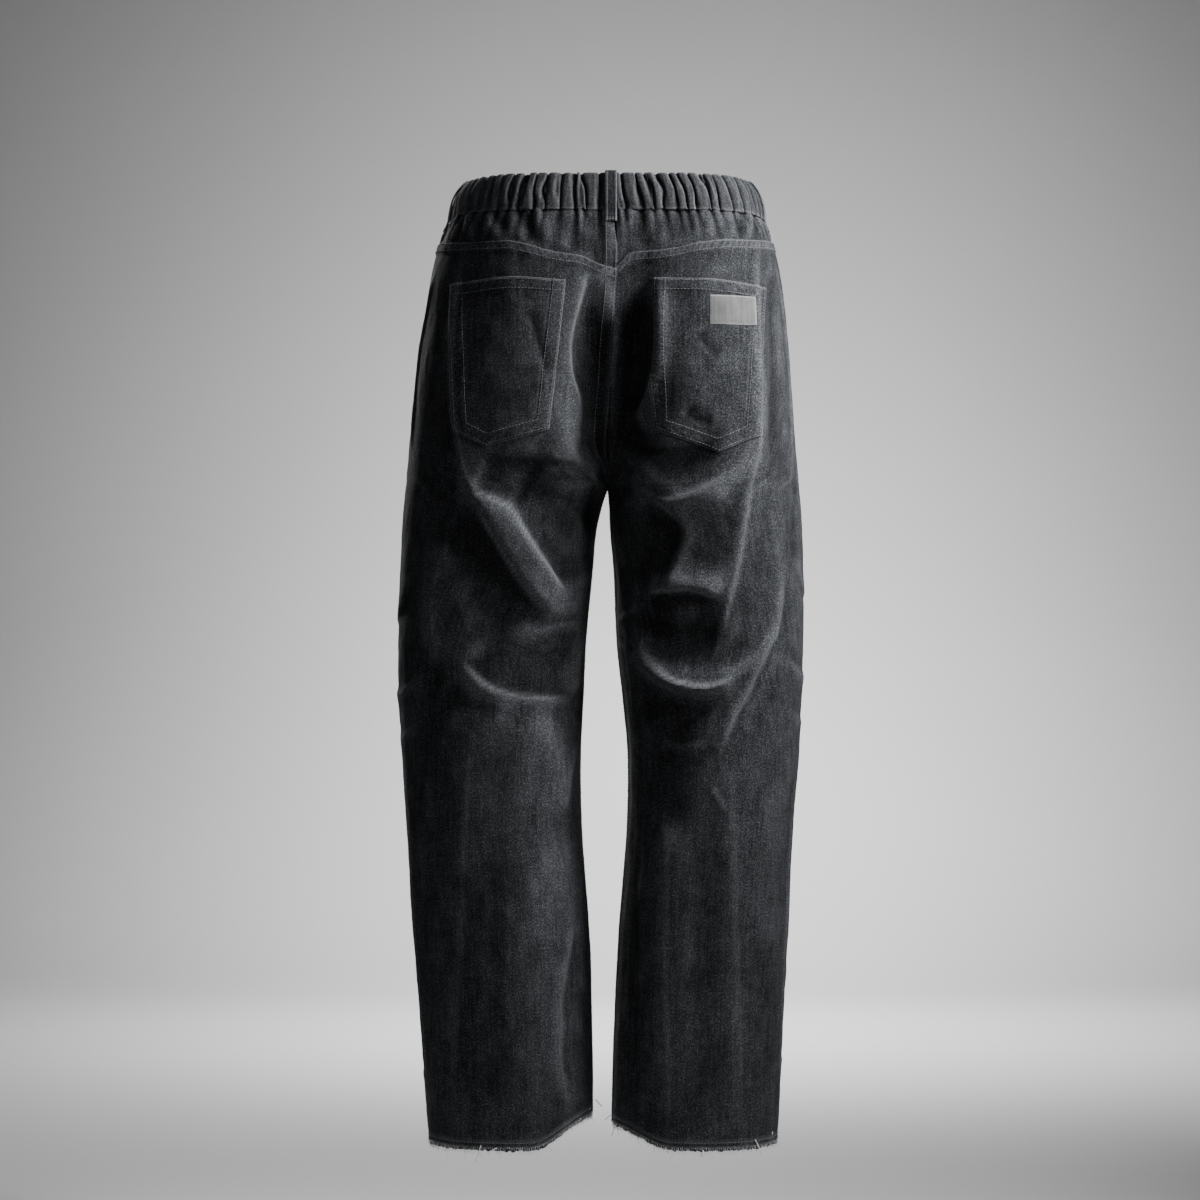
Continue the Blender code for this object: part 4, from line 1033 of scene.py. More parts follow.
@dataclass
class Waistband:
    """Half of the elastic casing, gathered outside and plain inside."""

    skins: dict[str, Skin]
    face: str
    gathers: Gathers
    finish: "Finishes"
    steps: int = 14
    stretch: float = 1.6

    def __post_init__(self) -> None:
        """Lays out the columns, closer together in the valleys of the gathers."""
        self.name = f"waistband_{self.face}"
        t = np.arange(self.steps) / self.steps
        self.columns: dict[str, Grid] = {}
        for side in self.skins:
            halves = self.gathers.halves[(self.face, side)]
            places = [gather.start + gather.width * (t - 0.12 * np.sin(2 * math.pi * t)) for gather in halves]
            self.columns[side] = np.concatenate(places + [[1.0]])

    def puff(self, side: str, part: Grid, level: Grid) -> Grid:
        """Height of the gathers, from the valleys to the crests.

        Args:
            side: the wearer's.
            part: share of the half's way from the centre to the side.
            level: height.

        Returns:
            Heights in millimetres.
        """
        ripple = Ripple(71 if side == "left" else 72)
        halves = self.gathers.halves[(self.face, side)]
        starts, widths, depths, crests, leans, _ = (np.array(values) for values in zip(*halves))
        sway = 0.2 / self.gathers.a_side * ripple.at(part * 60, level, 1.0, 15)
        lean = np.interp(part, starts, leans) * level / 36.0 * 0.9 / self.gathers.a_side
        ends = smoothstep(part / 0.02) * smoothstep((1 - part) / 0.02)
        moved = np.clip(part + (sway + lean) * ends, 0, 1)
        k = np.clip(np.searchsorted(starts, moved, side="right") - 1, 0, len(starts) - 1)
        t = (moved - starts[k]) / widths[k]
        depth = np.where(t < 0.5, depths[k], depths[np.clip(k + 1, 0, len(starts) - 1)])
        flat = 1 - np.abs(2 * t - 1) ** 4
        height = self.gathers.valley * depth * (1 - flat) + self.gathers.crest * crests[k] * flat
        return height + 0.35 * ripple.at(part * 260, level, 1.6, 11) * flat

    def side_grid(self, side: str) -> tuple[Grid, Grid, Grid]:
        """One side of the half, from the centre to the side seam.

        Args:
            side: the wearer's.

        Returns:
            Points, their heights over the skin, and the gathers' heights.
        """
        skin = self.skins[side]
        start, end = self.gathers.reach(skin, self.face)
        margin = SEAM_GAP / 4 / float(skin.length_around(0.0)) * (1 if end > start else -1)
        part = np.broadcast_to(self.columns[side], (len(BAND_PROFILE), len(self.columns[side])))
        share = start + part * (end - margin - start)
        level = np.array([row[0] for row in BAND_PROFILE])[:, None] + np.zeros(part.shape)
        puffed = self.puff(side, part, level)
        lift = np.array([
            puffed[r] * gathered if fixed is None else fixed + puffed[14] * gathered * 0.3
            for r, (_, fixed, gathered) in enumerate(BAND_PROFILE)
        ])
        crest = (puffed[13] - self.gathers.valley) / (self.gathers.crest - self.gathers.valley)
        near_top, near_low = smoothstep((level - 8.0) / 8.0), smoothstep((-13.0 - level) / 4.0)
        level = level + near_top * (2.4 * crest - 1.8) - near_low * (1.8 * crest - 0.4)
        out = skin.flat_normal(share, level) * np.array([skin.sign, 1.0, 1.0])
        return skin.lean(skin.flat_point(share, level), level) + out * lift[..., None], lift, puffed

    def build(self) -> Object:
        """Makes the half band as one closed tube of cloth with its ends shut.

        Returns:
            The half band.
        """
        left, right = self.side_grid("left"), self.side_grid("right")
        left[0][:, 0] = (left[0][:, 0] + right[0][:, 0]) / 2
        points, lift, puffed = (np.concatenate([a[:, ::-1], b[:, 1:]], axis=1) for a, b in zip(left, right))
        rows, columns = points.shape[:2]
        index = np.arange(rows * columns).reshape(rows, columns)
        ring = np.concatenate([index, index[:1]])
        quads = np.stack([ring[:-1, :-1], ring[:-1, 1:], ring[1:, 1:], ring[1:, :-1]], axis=-1).reshape(-1, 4)
        faces = quads.tolist() + [index[:, 0].tolist(), index[:, -1][::-1].tolist()]
        mesh = new_mesh(self.name, points.reshape(-1, 3), [], faces)
        mesh.materials.append(self.finish.denim)
        across, down = passed_along(points[7]), passed_along(points[:, columns // 2])
        uv = np.stack(np.broadcast_arrays(across[None, :] * self.stretch, down[:, None]), axis=-1)
        level = np.array([row[0] for row in BAND_PROFILE])[:, None]
        # Painted highlight: one side of every puff is paled, as if lit from that side; the pale top and bottom edges
        # added next are wear.
        worn = 0.4 * np.clip(-np.gradient(lift, axis=1) / 0.5, 0, 1)
        worn = worn + 0.3 * bump(level - 17.2, 1.2) * np.clip(puffed, 0, 1)
        worn = worn + 0.5 * bump(level + 17.4, 1.2) * np.clip(puffed / 1.5 + 0.4, 0, 1)
        mark_cloth(mesh, uv, {
            "wear_and_highlight": np.clip(worn, 0, 1),
            "ridge": np.clip(lift / 1.2 - 0.3, -1, 1),
            # Painted shade: darker in the valleys of the gathers.
            "fade": np.clip((puffed - 1.5) / 2.2, -1, 0.1),
        })
        turned_outwards(mesh)
        mesh.shade_smooth()
        mesh.set_sharp_from_angle(angle=math.radians(65))
        return linked(self.name, mesh)


def turned_outwards(mesh: Mesh) -> None:
    """Turns a closed mesh's faces outwards."""
    builder = bmesh.new()
    builder.from_mesh(mesh)
    bmesh.ops.recalc_face_normals(builder, faces=builder.faces)
    builder.to_mesh(mesh)
    builder.free()


def skin_places(skin: Skin, x: Grid, z: Grid) -> tuple[Grid, Grid]:
    """Finds the places of a side's back that are seen at some points from the back.

    Args:
        skin: the side.
        x: distances from the centre plane, in their place.
        z: heights.

    Returns:
        Shares of the way round and levels.
    """
    level = z.copy()
    share = np.full(x.shape, 0.2)
    step = 0.002
    for _ in range(12):
        here = skin.lean(skin.flat_point(share, level), level)
        there = skin.lean(skin.flat_point(share + step, level), level)
        slope = (there[..., 0] - here[..., 0]) / step
        share = np.clip(share + np.clip((x - here[..., 0]) / slope, -0.06, 0.06), 0.002, 0.49)
        level = level + z - here[..., 2]
    return share, level


def panel_ripples(skin: Skin, face: str = "back") -> tuple[Ripple, Ripple]:
    """The wide and the small ripples of a leg panel."""
    seed = {"left": 3, "right": 5}[skin.side] + (20 if face == "front" else 0)
    return Ripple(seed), Ripple(seed + 100)


def panel_dents(soft: Ripple, fine: Ripple, round_way: Grid, down: Grid) -> Grid:
    """Soft dents of a leg panel, which what is sewn on it follows."""
    return 0.9 * soft.at(round_way, down, 34, 52) + 0.45 * fine.at(round_way, down, 15, 24)


@dataclass
class BackPocket:
    """A five-sided patch pocket: turned-under edges, a hemmed mouth that stands a little open."""

    skin: Skin
    finish: "Finishes"
    columns: int = 78
    rows: int = 108
    turn: float = 13.5
    mouth_hem: float = 12.0

    def __post_init__(self) -> None:
        """Takes the pocket's outline."""
        self.name = f"back_pocket_{self.skin.side}"
        corners = (np.array(corner, float) for corner in POCKETS[self.skin.side])
        self.inner_top, self.outer_top, self.outer_low, self.point, self.inner_low = corners
        self.sides = np.array([self.inner_top, self.inner_low, self.point, self.outer_low, self.outer_top])
        self.arch = 3.6 if self.skin.side == "left" else 1.8

    def places(self, u: Grid, v: Grid) -> tuple[Grid, Grid]:
        """Places in the outline.

        Args:
            u: share of the way from the inner to the outer side.
            v: share of the way from the mouth to the bottom.

        Returns:
            Distances from the centre plane and heights.
        """
        top = self.inner_top + u[..., None] * (self.outer_top - self.inner_top)
        top[..., 1] += self.arch * np.sin(math.pi * u) ** 1.5
        tip = (self.point[0] - self.inner_low[0]) / (self.outer_low[0] - self.inner_low[0])
        low_x = self.inner_low[0] + u * (self.outer_low[0] - self.inner_low[0])
        low_z = np.interp(u, [0, tip, 1], [self.inner_low[1], self.point[1], self.outer_low[1]])
        place = top + v[..., None] * (np.stack([low_x, low_z], axis=-1) - top)
        return place[..., 0], place[..., 1]

    def height(self, x: Grid, z: Grid) -> tuple[Grid, Grid]:
        """Height of the pocket's face over the panel, and its wear.

        Args:
            x: distances from the centre plane.
            z: heights.

        Returns:
            The height in millimetres and the wear from 0 to 1.
        """
        rim = np.abs(line_distance(self.sides, x, z)[0])
        u = np.clip((x - self.inner_top[0]) / (self.outer_top[0] - self.inner_top[0]), 0, 1)
        from_mouth = self.places(u, np.zeros(u.shape))[1] - z
        nearest = np.minimum(rim, from_mouth)
        ripple = Ripple(80 if self.skin.side == "left" else 81)
        turned = smoothstep((self.turn + 1.0 - rim) / 2.0)
        hemmed = smoothstep((self.mouth_hem + 1.0 - from_mouth) / 2.0)
        rope = roping(x + z, 8.0, 3 * ripple.at(x, z, 30, 30))
        rope = rope * np.maximum(bump(rim - 7, 4.5), bump(from_mouth - 7, 4.0))
        lift = SEAM_GAP + POCKET_CLOTH + 0.35 + 0.35 * np.maximum(turned, hemmed) + 0.09 * rope
        lift = lift - 0.85 * (1 - smoothstep(nearest / 1.5)) + 0.4 * ripple.at(x, z, 21, 26) * smoothstep(rim / 12)
        lift = lift + 0.13 * ripple.at(x + 90, z, 6, 8) + 0.08 * ripple.at(x, z + 70, 3.2, 4)
        lift = lift - 0.3 * (bump(rim - 1.8, 1.0) + bump(rim - self.turn, 1.2))
        lift = lift + 1.6 * np.sin(math.pi * u) * np.exp(-from_mouth / 16.0)
        worn = 0.6 * bump(nearest, 0.9) + 0.05 * np.clip(rope, 0, 1)
        worn = worn + 0.12 * bump(rim - self.turn - 1.2, 1.0) * smoothstep((from_mouth - 8) / 4)
        return lift, np.clip(worn, 0, 1)

    def build(self) -> Object:
        """Makes the pocket.

        Returns:
            The pocket.
        """
        u, v = np.meshgrid(edged(self.columns, 0.005, 0.995), edged(self.rows, 0.004, 0.996))
        x, z = self.places(u, v)
        share, level = skin_places(self.skin, x * self.skin.sign, z)
        laid = drape(self.skin, share, level)
        lift, worn = self.height(x, z)
        raised = lift + panel_dents(*panel_ripples(self.skin), share * self.skin.length_around(level), -level)
        marks = {
            "wear_and_highlight": np.clip(worn + 0.5 * laid.worn, 0, 1),
            "ridge": raised_mark(laid.height + lift),
            # Painted shade: darker in the hollows of the pocket's relief, paler on its ridges.
            "fade": raised_mark(laid.height + raised, 12.0, 2.0),
        }
        walls = laid.moved(raised), laid.moved(raised - POCKET_CLOTH)
        materials = self.finish.denim, self.finish.denim_inside
        return shell_object(self.name, walls, np.stack([x, -z], axis=-1), marks, materials)


@dataclass
class PocketPatch:
    """The plain grey patch on the right pocket."""

    pocket: BackPocket
    finish: "Finishes"
    across: tuple[float, float] = (101.0, 146.0)
    heights: tuple[float, float] = (-133.0, -104.0)
    name: str = "pocket_patch"

    def build(self) -> Object:
        """Makes the patch.

        Returns:
            The patch.
        """
        u, v = np.meshgrid(edged(36, 0.012, 0.988), edged(24, 0.02, 0.98))
        (x0, x1), (z0, z1) = self.across, self.heights
        x, z = x0 + u * (x1 - x0), z1 + v * (z0 - z1)
        rim = np.minimum.reduce([x - x0, x1 - x, z - z0, z1 - z])
        skin = self.pocket.skin
        share, level = skin_places(skin, x * skin.sign, z)
        laid = drape(skin, share, level)
        under = softened(self.pocket.height(x, z)[0], 2.0) + 0.3
        ripple = Ripple(90)
        lift = under + 0.75 + 0.12 * ripple.at(x, z, 5, 6) + 0.2 * ripple.at(x, z, 14, 11)
        lift = lift - 0.35 * bump(rim - 2.0, 0.9) - 0.55 * (1 - smoothstep(rim / 1.0))
        panel = panel_dents(*panel_ripples(skin), share * skin.length_around(level), -level)
        marks = {"wear_and_highlight": 0.6 * bump(rim, 0.9), "ridge": raised_mark(lift, 2.0, 0.3)}
        walls = laid.moved(lift + panel), laid.moved(under + panel - 0.25)
        return shell_object(self.name, walls, np.stack([x, -z], axis=-1), marks, (self.finish.patch,))


# Down a belt loop from inside the band's top: level, height of its middle over the skin
LOOP_PATH = (
    (16.0, -3.6), (19.4, -3.0), (20.2, -0.6), (19.2, 1.9), (16.5, 2.9), (11.0, 3.2), (3.0, 3.3),
    (-6.0, 3.2), (-14.0, 2.8), (-19.0, 1.8), (-23.0, 1.2), (-27.0, 1.0), (-31.0, 0.9),
)


@dataclass
class BeltLoop:
    """A flat loop over the gathers, sewn down above and below the waistband."""

    name: str
    skin: Skin
    share: float
    finish: "Finishes"
    half_width: float = 6.0
    cloth: float = 1.5
    centre_x: float = -3.0

    def plain(self, offset: Grid, level: Grid) -> tuple[Grid, Grid]:
        """The skin below the loop, before its folds.

        Args:
            offset: distances from the loop's middle line.
            level: levels.

        Returns:
            Its points and outward directions.
        """
        around = float(self.skin.length_around(0.0))
        if self.share == 0.0:
            share = np.abs(offset) / around
            flat = self.skin.flat_point(share, level)
            flat[..., 0] = self.centre_x + offset
            return flat, self.skin.flat_normal(share, level)
        share, mirror = self.share + offset / around, np.array([self.skin.sign, 1, 1])
        return self.skin.flat_point(share, level) * mirror, self.skin.flat_normal(share, level) * mirror

    def build(self) -> Object:
        """Makes the loop.

        Returns:
            The loop.
        """
        t = np.linspace(0, 1, 45)
        stations = np.linspace(0, 1, len(LOOP_PATH))
        level, lift = (curve_through(stations, values, t)[:, None] for values in zip(*LOOP_PATH))
        offset = np.concatenate([[-6.0, -5.7], np.linspace(-5.2, 5.2, 13), [5.7, 6.0]])[None, :]
        level, offset = np.broadcast_arrays(level, offset)
        if self.share == 0.0:
            flat, out = self.plain(offset, level)
            out = out * np.sign(offset + 1e-6)[..., None] ** np.array([1, 0, 0])
        else:
            share = self.share + offset / float(self.skin.length_around(0.0))
            laid = drape(self.skin, share, level, strength=0.5)
            flat, out = laid.point, laid.out
        centre = flat + out * lift[..., None]
        away = grid_normals(centre, out)
        rim = self.half_width - np.abs(offset)
        raised = 0.28 * bump(rim - 1.4, 1.2) - 0.2 * bump(rim - 3.0, 0.7)
        tack = 0.35 * bump((t - 0.965) * 60, 1.6)[:, None]
        thick = self.cloth / 2 * (1 - 0.55 * (1 - smoothstep(rim / 1.2)))
        rough = 0.1 * Ripple(95).at(offset, level, 3, 4)
        walls = centre + away * (thick + raised + tack + rough)[..., None], centre - away * thick[..., None]
        marks = {
            "wear_and_highlight": np.clip(0.8 * bump(rim, 1.0) + 0.25 * bump(rim - 2.2, 0.8), 0, 1),
            "ridge": np.clip(raised * 3, -1, 1),
        }
        uv = np.stack([offset + 40 * self.share, -level], axis=-1)
        return shell_object(self.name, walls, uv, marks, (self.finish.denim,))


@dataclass
class StitchRows:
    """Rows of stitches laid along lines on the cloth by a Geometry Nodes tree."""

    name: str
    pitch: float = 3.4
    length: float = 2.6
    thread: float = 0.42
    points: list[Vector] = field(default_factory=list)
    ups: list[Vector] = field(default_factory=list)
    edges: list[tuple[int, int]] = field(default_factory=list)

    def add(self, surface: BVHTree, places: Grid) -> None:
        """Adds a row along some places, set down on the nearest cloth.

        Args:
            surface: the cloth.
            places: points near it, in millimetres.
        """
        first = True
        for place in places:
            found, normal, _, _ = surface.find_nearest(Vector(place) * MM)
            if found is None:
                continue
            toward = Vector(place) * MM - found
            if normal.dot(toward) < 0 and toward.length > 0.0002:
                normal = -normal
            if not first:
                self.edges.append((len(self.points) - 1, len(self.points)))
            self.points.append(found)
            self.ups.append(normal)
            first = False

    def build(self, material: Material) -> Object:
        """Makes the stitches as one plain mesh.

        Args:
            material: the thread's.

        Returns:
            The stitches.
        """
        mesh = bpy.data.meshes.new(self.name)
        mesh.from_pydata([tuple(p) for p in self.points], self.edges, [])
        up = mesh.attributes.new("up", "FLOAT_VECTOR", "POINT")
        up.data.foreach_set("vector", np.array([tuple(n) for n in self.ups], dtype=np.float32).reshape(-1))
        sizes = {"Pitch": self.pitch * MM, "Length": self.length * MM, "Thread": self.thread * MM}
        return grown(linked(self.name + "_line", mesh), self.name, stitch_tree(material), sizes | {"Seed": 7})


def grown(line: Object, name: str, tree: GeometryNodeTree, sizes: dict[str, float]) -> Object:
    """Runs a Geometry Nodes tree on an object and keeps the result as a plain mesh.

    Args:
        line: the object that the tree starts from, which is removed.
        name: the new object's name.
        tree: the tree.
        sizes: its inputs by name.

    Returns:
        The new object.
    """
    modifier = line.modifiers.new("grow", "NODES")
    modifier.node_group = tree
    for item in tree.interface.items_tree:
        if item.item_type == "SOCKET" and item.in_out == "INPUT" and item.name in sizes:
            modifier[item.identifier] = sizes[item.name]
    line.update_tag()
    bpy.context.view_layer.update()
    graph = bpy.context.evaluated_depsgraph_get()
    mesh = bpy.data.meshes.new_from_object(line.evaluated_get(graph))
    mesh.name = name
    line.modifiers.remove(modifier)
    bpy.data.objects.remove(line)
    return linked(name, mesh)


class Graph:
    """Short calls that add nodes to one tree."""

    def __init__(self, tree: NodeTree) -> None:
        """Keeps the tree."""
        self.tree = tree

    def add(self, kind: str, inputs: dict[Any, Any] | None = None, **settings: Any) -> Node:
        """Adds a node.

        Args:
            kind: its type name.
            inputs: values or sockets for its inputs, by name or number.
            settings: its own settings.

        Returns:
            The node.
        """
        node = self.tree.nodes.new(kind)
        for key, value in settings.items():
            setattr(node, key, value)
        for key, value in (inputs or {}).items():
            self.feed(node.inputs[key], value)
        return node

    def feed(self, socket: NodeSocket, value: Any) -> None:
        """Links a socket to an input, or sets the input's value."""
        if isinstance(value, NodeSocket):
            self.tree.links.new(value, socket)
        else:
            socket.default_value = value

    def math(self, operation: str, a: Any, b: Any = 0.0, clamp: bool = False) -> NodeSocket:
        """Adds a Math node and returns its output."""
        return self.add("ShaderNodeMath", {0: a, 1: b}, operation=operation, use_clamp=clamp).outputs[0]

    def times(self, a: Any, b: Any, clamp: bool = False) -> NodeSocket:
        """A value times another."""
        return self.math("MULTIPLY", a, b, clamp)

    def plus(self, a: Any, b: Any, clamp: bool = False) -> NodeSocket:
        """The sum of two values."""
        return self.math("ADD", a, b, clamp)

    def noise(self, vector: Any, scale: float, detail: float = 2.0, roughness: float = 0.5) -> NodeSocket:
        """Adds a Noise Texture and returns its value."""
        inputs = {"Vector": vector, "Scale": scale, "Detail": detail, "Roughness": roughness}
        return self.add("ShaderNodeTexNoise", inputs).outputs[0]

    def remap(self, value: Any, low: float, high: float, to_low: float = 0.0, to_high: float = 1.0) -> NodeSocket:
        """Adds a clamped Map Range node and returns its output."""
        inputs = {"Value": value, "From Min": low, "From Max": high, "To Min": to_low, "To Max": to_high}
        return self.add("ShaderNodeMapRange", inputs).outputs[0]

    def mix(self, factor: Any, a: Any, b: Any, blend: str = "MIX") -> NodeSocket:
        """Adds a colour Mix node and returns its output."""
        node = self.add("ShaderNodeMix", data_type="RGBA", blend_type=blend)
        self.feed(node.inputs[0], factor)
        self.feed(node.inputs[6], a)
        self.feed(node.inputs[7], b)
        return node.outputs[2]

    def stretched(self, vector: Any, scale: tuple[float, float, float]) -> NodeSocket:
        """Adds a Mapping node that only scales, and returns its output."""
        return self.add("ShaderNodeMapping", {"Vector": vector, "Scale": scale}).outputs[0]


def fresh_material(name: str) -> tuple[Material, Graph, Any]:
    """Starts a material, and gives its graph and its shader's inputs."""
    material = bpy.data.materials.new(name)
    material.use_nodes = True
    return material, Graph(material.node_tree), material.node_tree.nodes["Principled BSDF"].inputs


def add_socket(tree: NodeTree, name: str, kind: str, way: str = "INPUT", value: Any = None) -> None:
    """Adds a named input or output to a node group."""
    socket = tree.interface.new_socket(name=name, in_out=way, socket_type=kind)
    if value is not None:
        socket.default_value = value


class ThreadTree(Graph):
    """A Geometry Nodes tree that sets short bent threads along a line."""

    def __init__(self, name: str, material: Material) -> None:
        """Starts the tree with its named inputs.

        Args:
            name: the tree's name.
            material: the threads'.
        """
        super().__init__(bpy.data.node_groups.new(name, "GeometryNodeTree"))
        add_socket(self.tree, "Line", "NodeSocketGeometry")
        for size in ("Pitch", "Length", "Thread"):
            add_socket(self.tree, size, "NodeSocketFloat")
        add_socket(self.tree, "Seed", "NodeSocketInt")
        add_socket(self.tree, "Threads", "NodeSocketGeometry", "OUTPUT")
        self.material = material
        self.start = self.add("NodeGroupInput").outputs

    def sized(self, size: str, factor: float) -> NodeSocket:
        """One of the sizes times a factor."""
        return self.times(self.start[size], factor)

    def point(self, x: Any, z: Any) -> NodeSocket:
        """A point of a thread's bow."""
        return self.add("ShaderNodeCombineXYZ", {0: x, 2: z}).outputs[0]

    def random(self, kind: str, low: Any, high: Any) -> NodeSocket:
        """Adds a random value for each thread.

        Args:
            kind: "FLOAT" or "FLOAT_VECTOR".
            low: the smallest value.
            high: the largest value.

        Returns:
            The value.
        """
        node = self.add("FunctionNodeRandomValue", {"Seed": self.start["Seed"]}, data_type=kind)
        first = 2 if kind == "FLOAT" else 0
        node.inputs[first].default_value, node.inputs[first + 1].default_value = low, high
        return node.outputs[first // 2]

    def place(self, bow: Sequence[Any], sides: int, turn: NodeSocket, low: float, high: float) -> None:
        """Bends one thread, sets it all along the line and ends the tree.

        Args:
            bow: start, middle and end of the thread.
            sides: of its section.
            turn: each thread's rotation.
            low: the smallest size of a thread.
            high: the largest.
        """
        curve = self.add("GeometryNodeMeshToCurve", {0: self.start["Line"]}).outputs[0]
        evenly = {"Curve": curve, "Length": self.start["Pitch"]}
        rows = self.add("GeometryNodeResampleCurve", evenly, mode="LENGTH").outputs[0]
        arc = self.add("GeometryNodeCurveQuadraticBezier", {
            "Resolution": 4 if sides > 3 else 3, "Start": bow[0], "Middle": bow[1], "End": bow[2],
        }).outputs[0]
        section = {"Resolution": sides, "Radius": self.start["Thread"]}
        ring = self.add("GeometryNodeCurvePrimitiveCircle", section).outputs[0]
        tube = {"Curve": arc, "Profile Curve": ring, "Fill Caps": True}
        thread = self.add("GeometryNodeCurveToMesh", tube).outputs[0]
        placed = self.add("GeometryNodeInstanceOnPoints", {
            "Points": rows, "Instance": thread, "Rotation": turn, "Scale": self.random("FLOAT", low, high),
        }).outputs[0]
        real = self.add("GeometryNodeRealizeInstances", {0: placed}).outputs[0]
        if sides > 3:
            real = self.add("GeometryNodeSetShadeSmooth", {"Geometry": real}).outputs[0]
        dressed = self.add("GeometryNodeSetMaterial", {"Geometry": real, "Material": self.material}).outputs[0]
        self.add("NodeGroupOutput", {0: dressed})


def stitch_tree(material: Material) -> GeometryNodeTree:
    """Builds the tree that sets stitches along a line.

    Args:
        material: the thread's.

    Returns:
        The tree.
    """
    graph = ThreadTree("stitches", material)
    deep = graph.sized("Thread", -0.9)
    bow = (
        graph.point(graph.sized("Length", -0.5), deep),
        graph.point(0.0, graph.sized("Thread", 1.7)),
        graph.point(graph.sized("Length", 0.5), deep),
    )
    up = graph.add("GeometryNodeInputNamedAttribute", {"Name": "up"}, data_type="FLOAT_VECTOR").outputs[0]
    tangent = graph.add("GeometryNodeInputTangent").outputs[0]
    along = graph.add("FunctionNodeAlignRotationToVector", {"Vector": tangent}, axis="X").outputs[0]
    facing = {"Rotation": along, "Vector": up}
    turn = graph.add("FunctionNodeAlignRotationToVector", facing, axis="Z", pivot_axis="X").outputs[0]
    graph.place(bow, 5, turn, 0.88, 1.05)
    return graph.tree


def fibre_tree(material: Material) -> GeometryNodeTree:
    """Builds the tree that hangs short fibres along a raw edge.

    Args:
        material: the fibres'.

    Returns:
        The tree.
    """
    graph = ThreadTree("hem_fibres", material)
    middle = graph.point(graph.sized("Length", 0.22), graph.sized("Length", -0.55))
    bow = ((0.0, 0.0, 0.0012), middle, graph.point(0.0, graph.sized("Length", -1.0)))
    graph.place(bow, 3, graph.random("FLOAT_VECTOR", (-0.55, -0.45, -3.1), (0.55, 0.45, 3.1)), 0.35, 1.3)
    return graph.tree


# Long threads of the raw hems, seen from the back: (across, height) of their points
THREADS = {
    "left": (
        ((-13, -921), (-9, -925), (-6, -928)), ((-18, -927), (-20, -933), (-16, -938)),
        ((-28, -934), (-30, -940)), ((-128, -957), (-131, -966), (-134, -974)),
        ((-112, -959), (-117, -962), (-121, -965)), ((-60, -956), (-57, -963)),
    ),
    "right": (
        ((4, -937), (0, -939), (-3, -942)), ((9, -942), (6, -948), (4, -955)), ((149, -953), (153, -961), (156, -970)),
        ((168, -949), (165, -957), (157, -963)), ((96, -961), (94, -968)), ((58, -959), (61, -965)),
    ),
}


def thread_object(name: str, lines: Sequence[Grid], radius: float, material: Material) -> Object:
    """Makes threads of an even thickness.

    Args:
        name: the object's name.
        lines: points of each thread, in millimetres.
        radius: half the thickness, in millimetres.
        material: the thread's.

    Returns:
        The threads.
    """
    points, faces = [], []
    for line in lines:
        along = unit(np.gradient(line, axis=0))
        first = unit(np.cross(along, [0.0, 1.0, 0.1]))
        second = np.cross(along, first)
        start, last = len(points), len(points) + 4 * (len(line) - 1)
        for place, a, b in zip(line, first, second):
            points += [place + radius * a, place + radius * b, place - radius * a, place - radius * b]
        for low in range(start, last, 4):
            faces += [(low + a, low + (a + 1) % 4, low + 4 + (a + 1) % 4, low + 4 + a) for a in range(4)]
        faces += [(start + 3, start + 2, start + 1, start), (last, last + 1, last + 2, last + 3)]
    mesh = new_mesh(name, points, [], faces)
    mesh.materials.append(material)
    turned_outwards(mesh)
    mesh.shade_smooth()
    return linked(name, mesh)


class FibreRow(NamedTuple):
    """One row of loose fibres: the strip's row that it hangs from, its sizes and its height over the cloth."""

    row: int
    pitch: float
    length: float
    thread: float
    lift: float


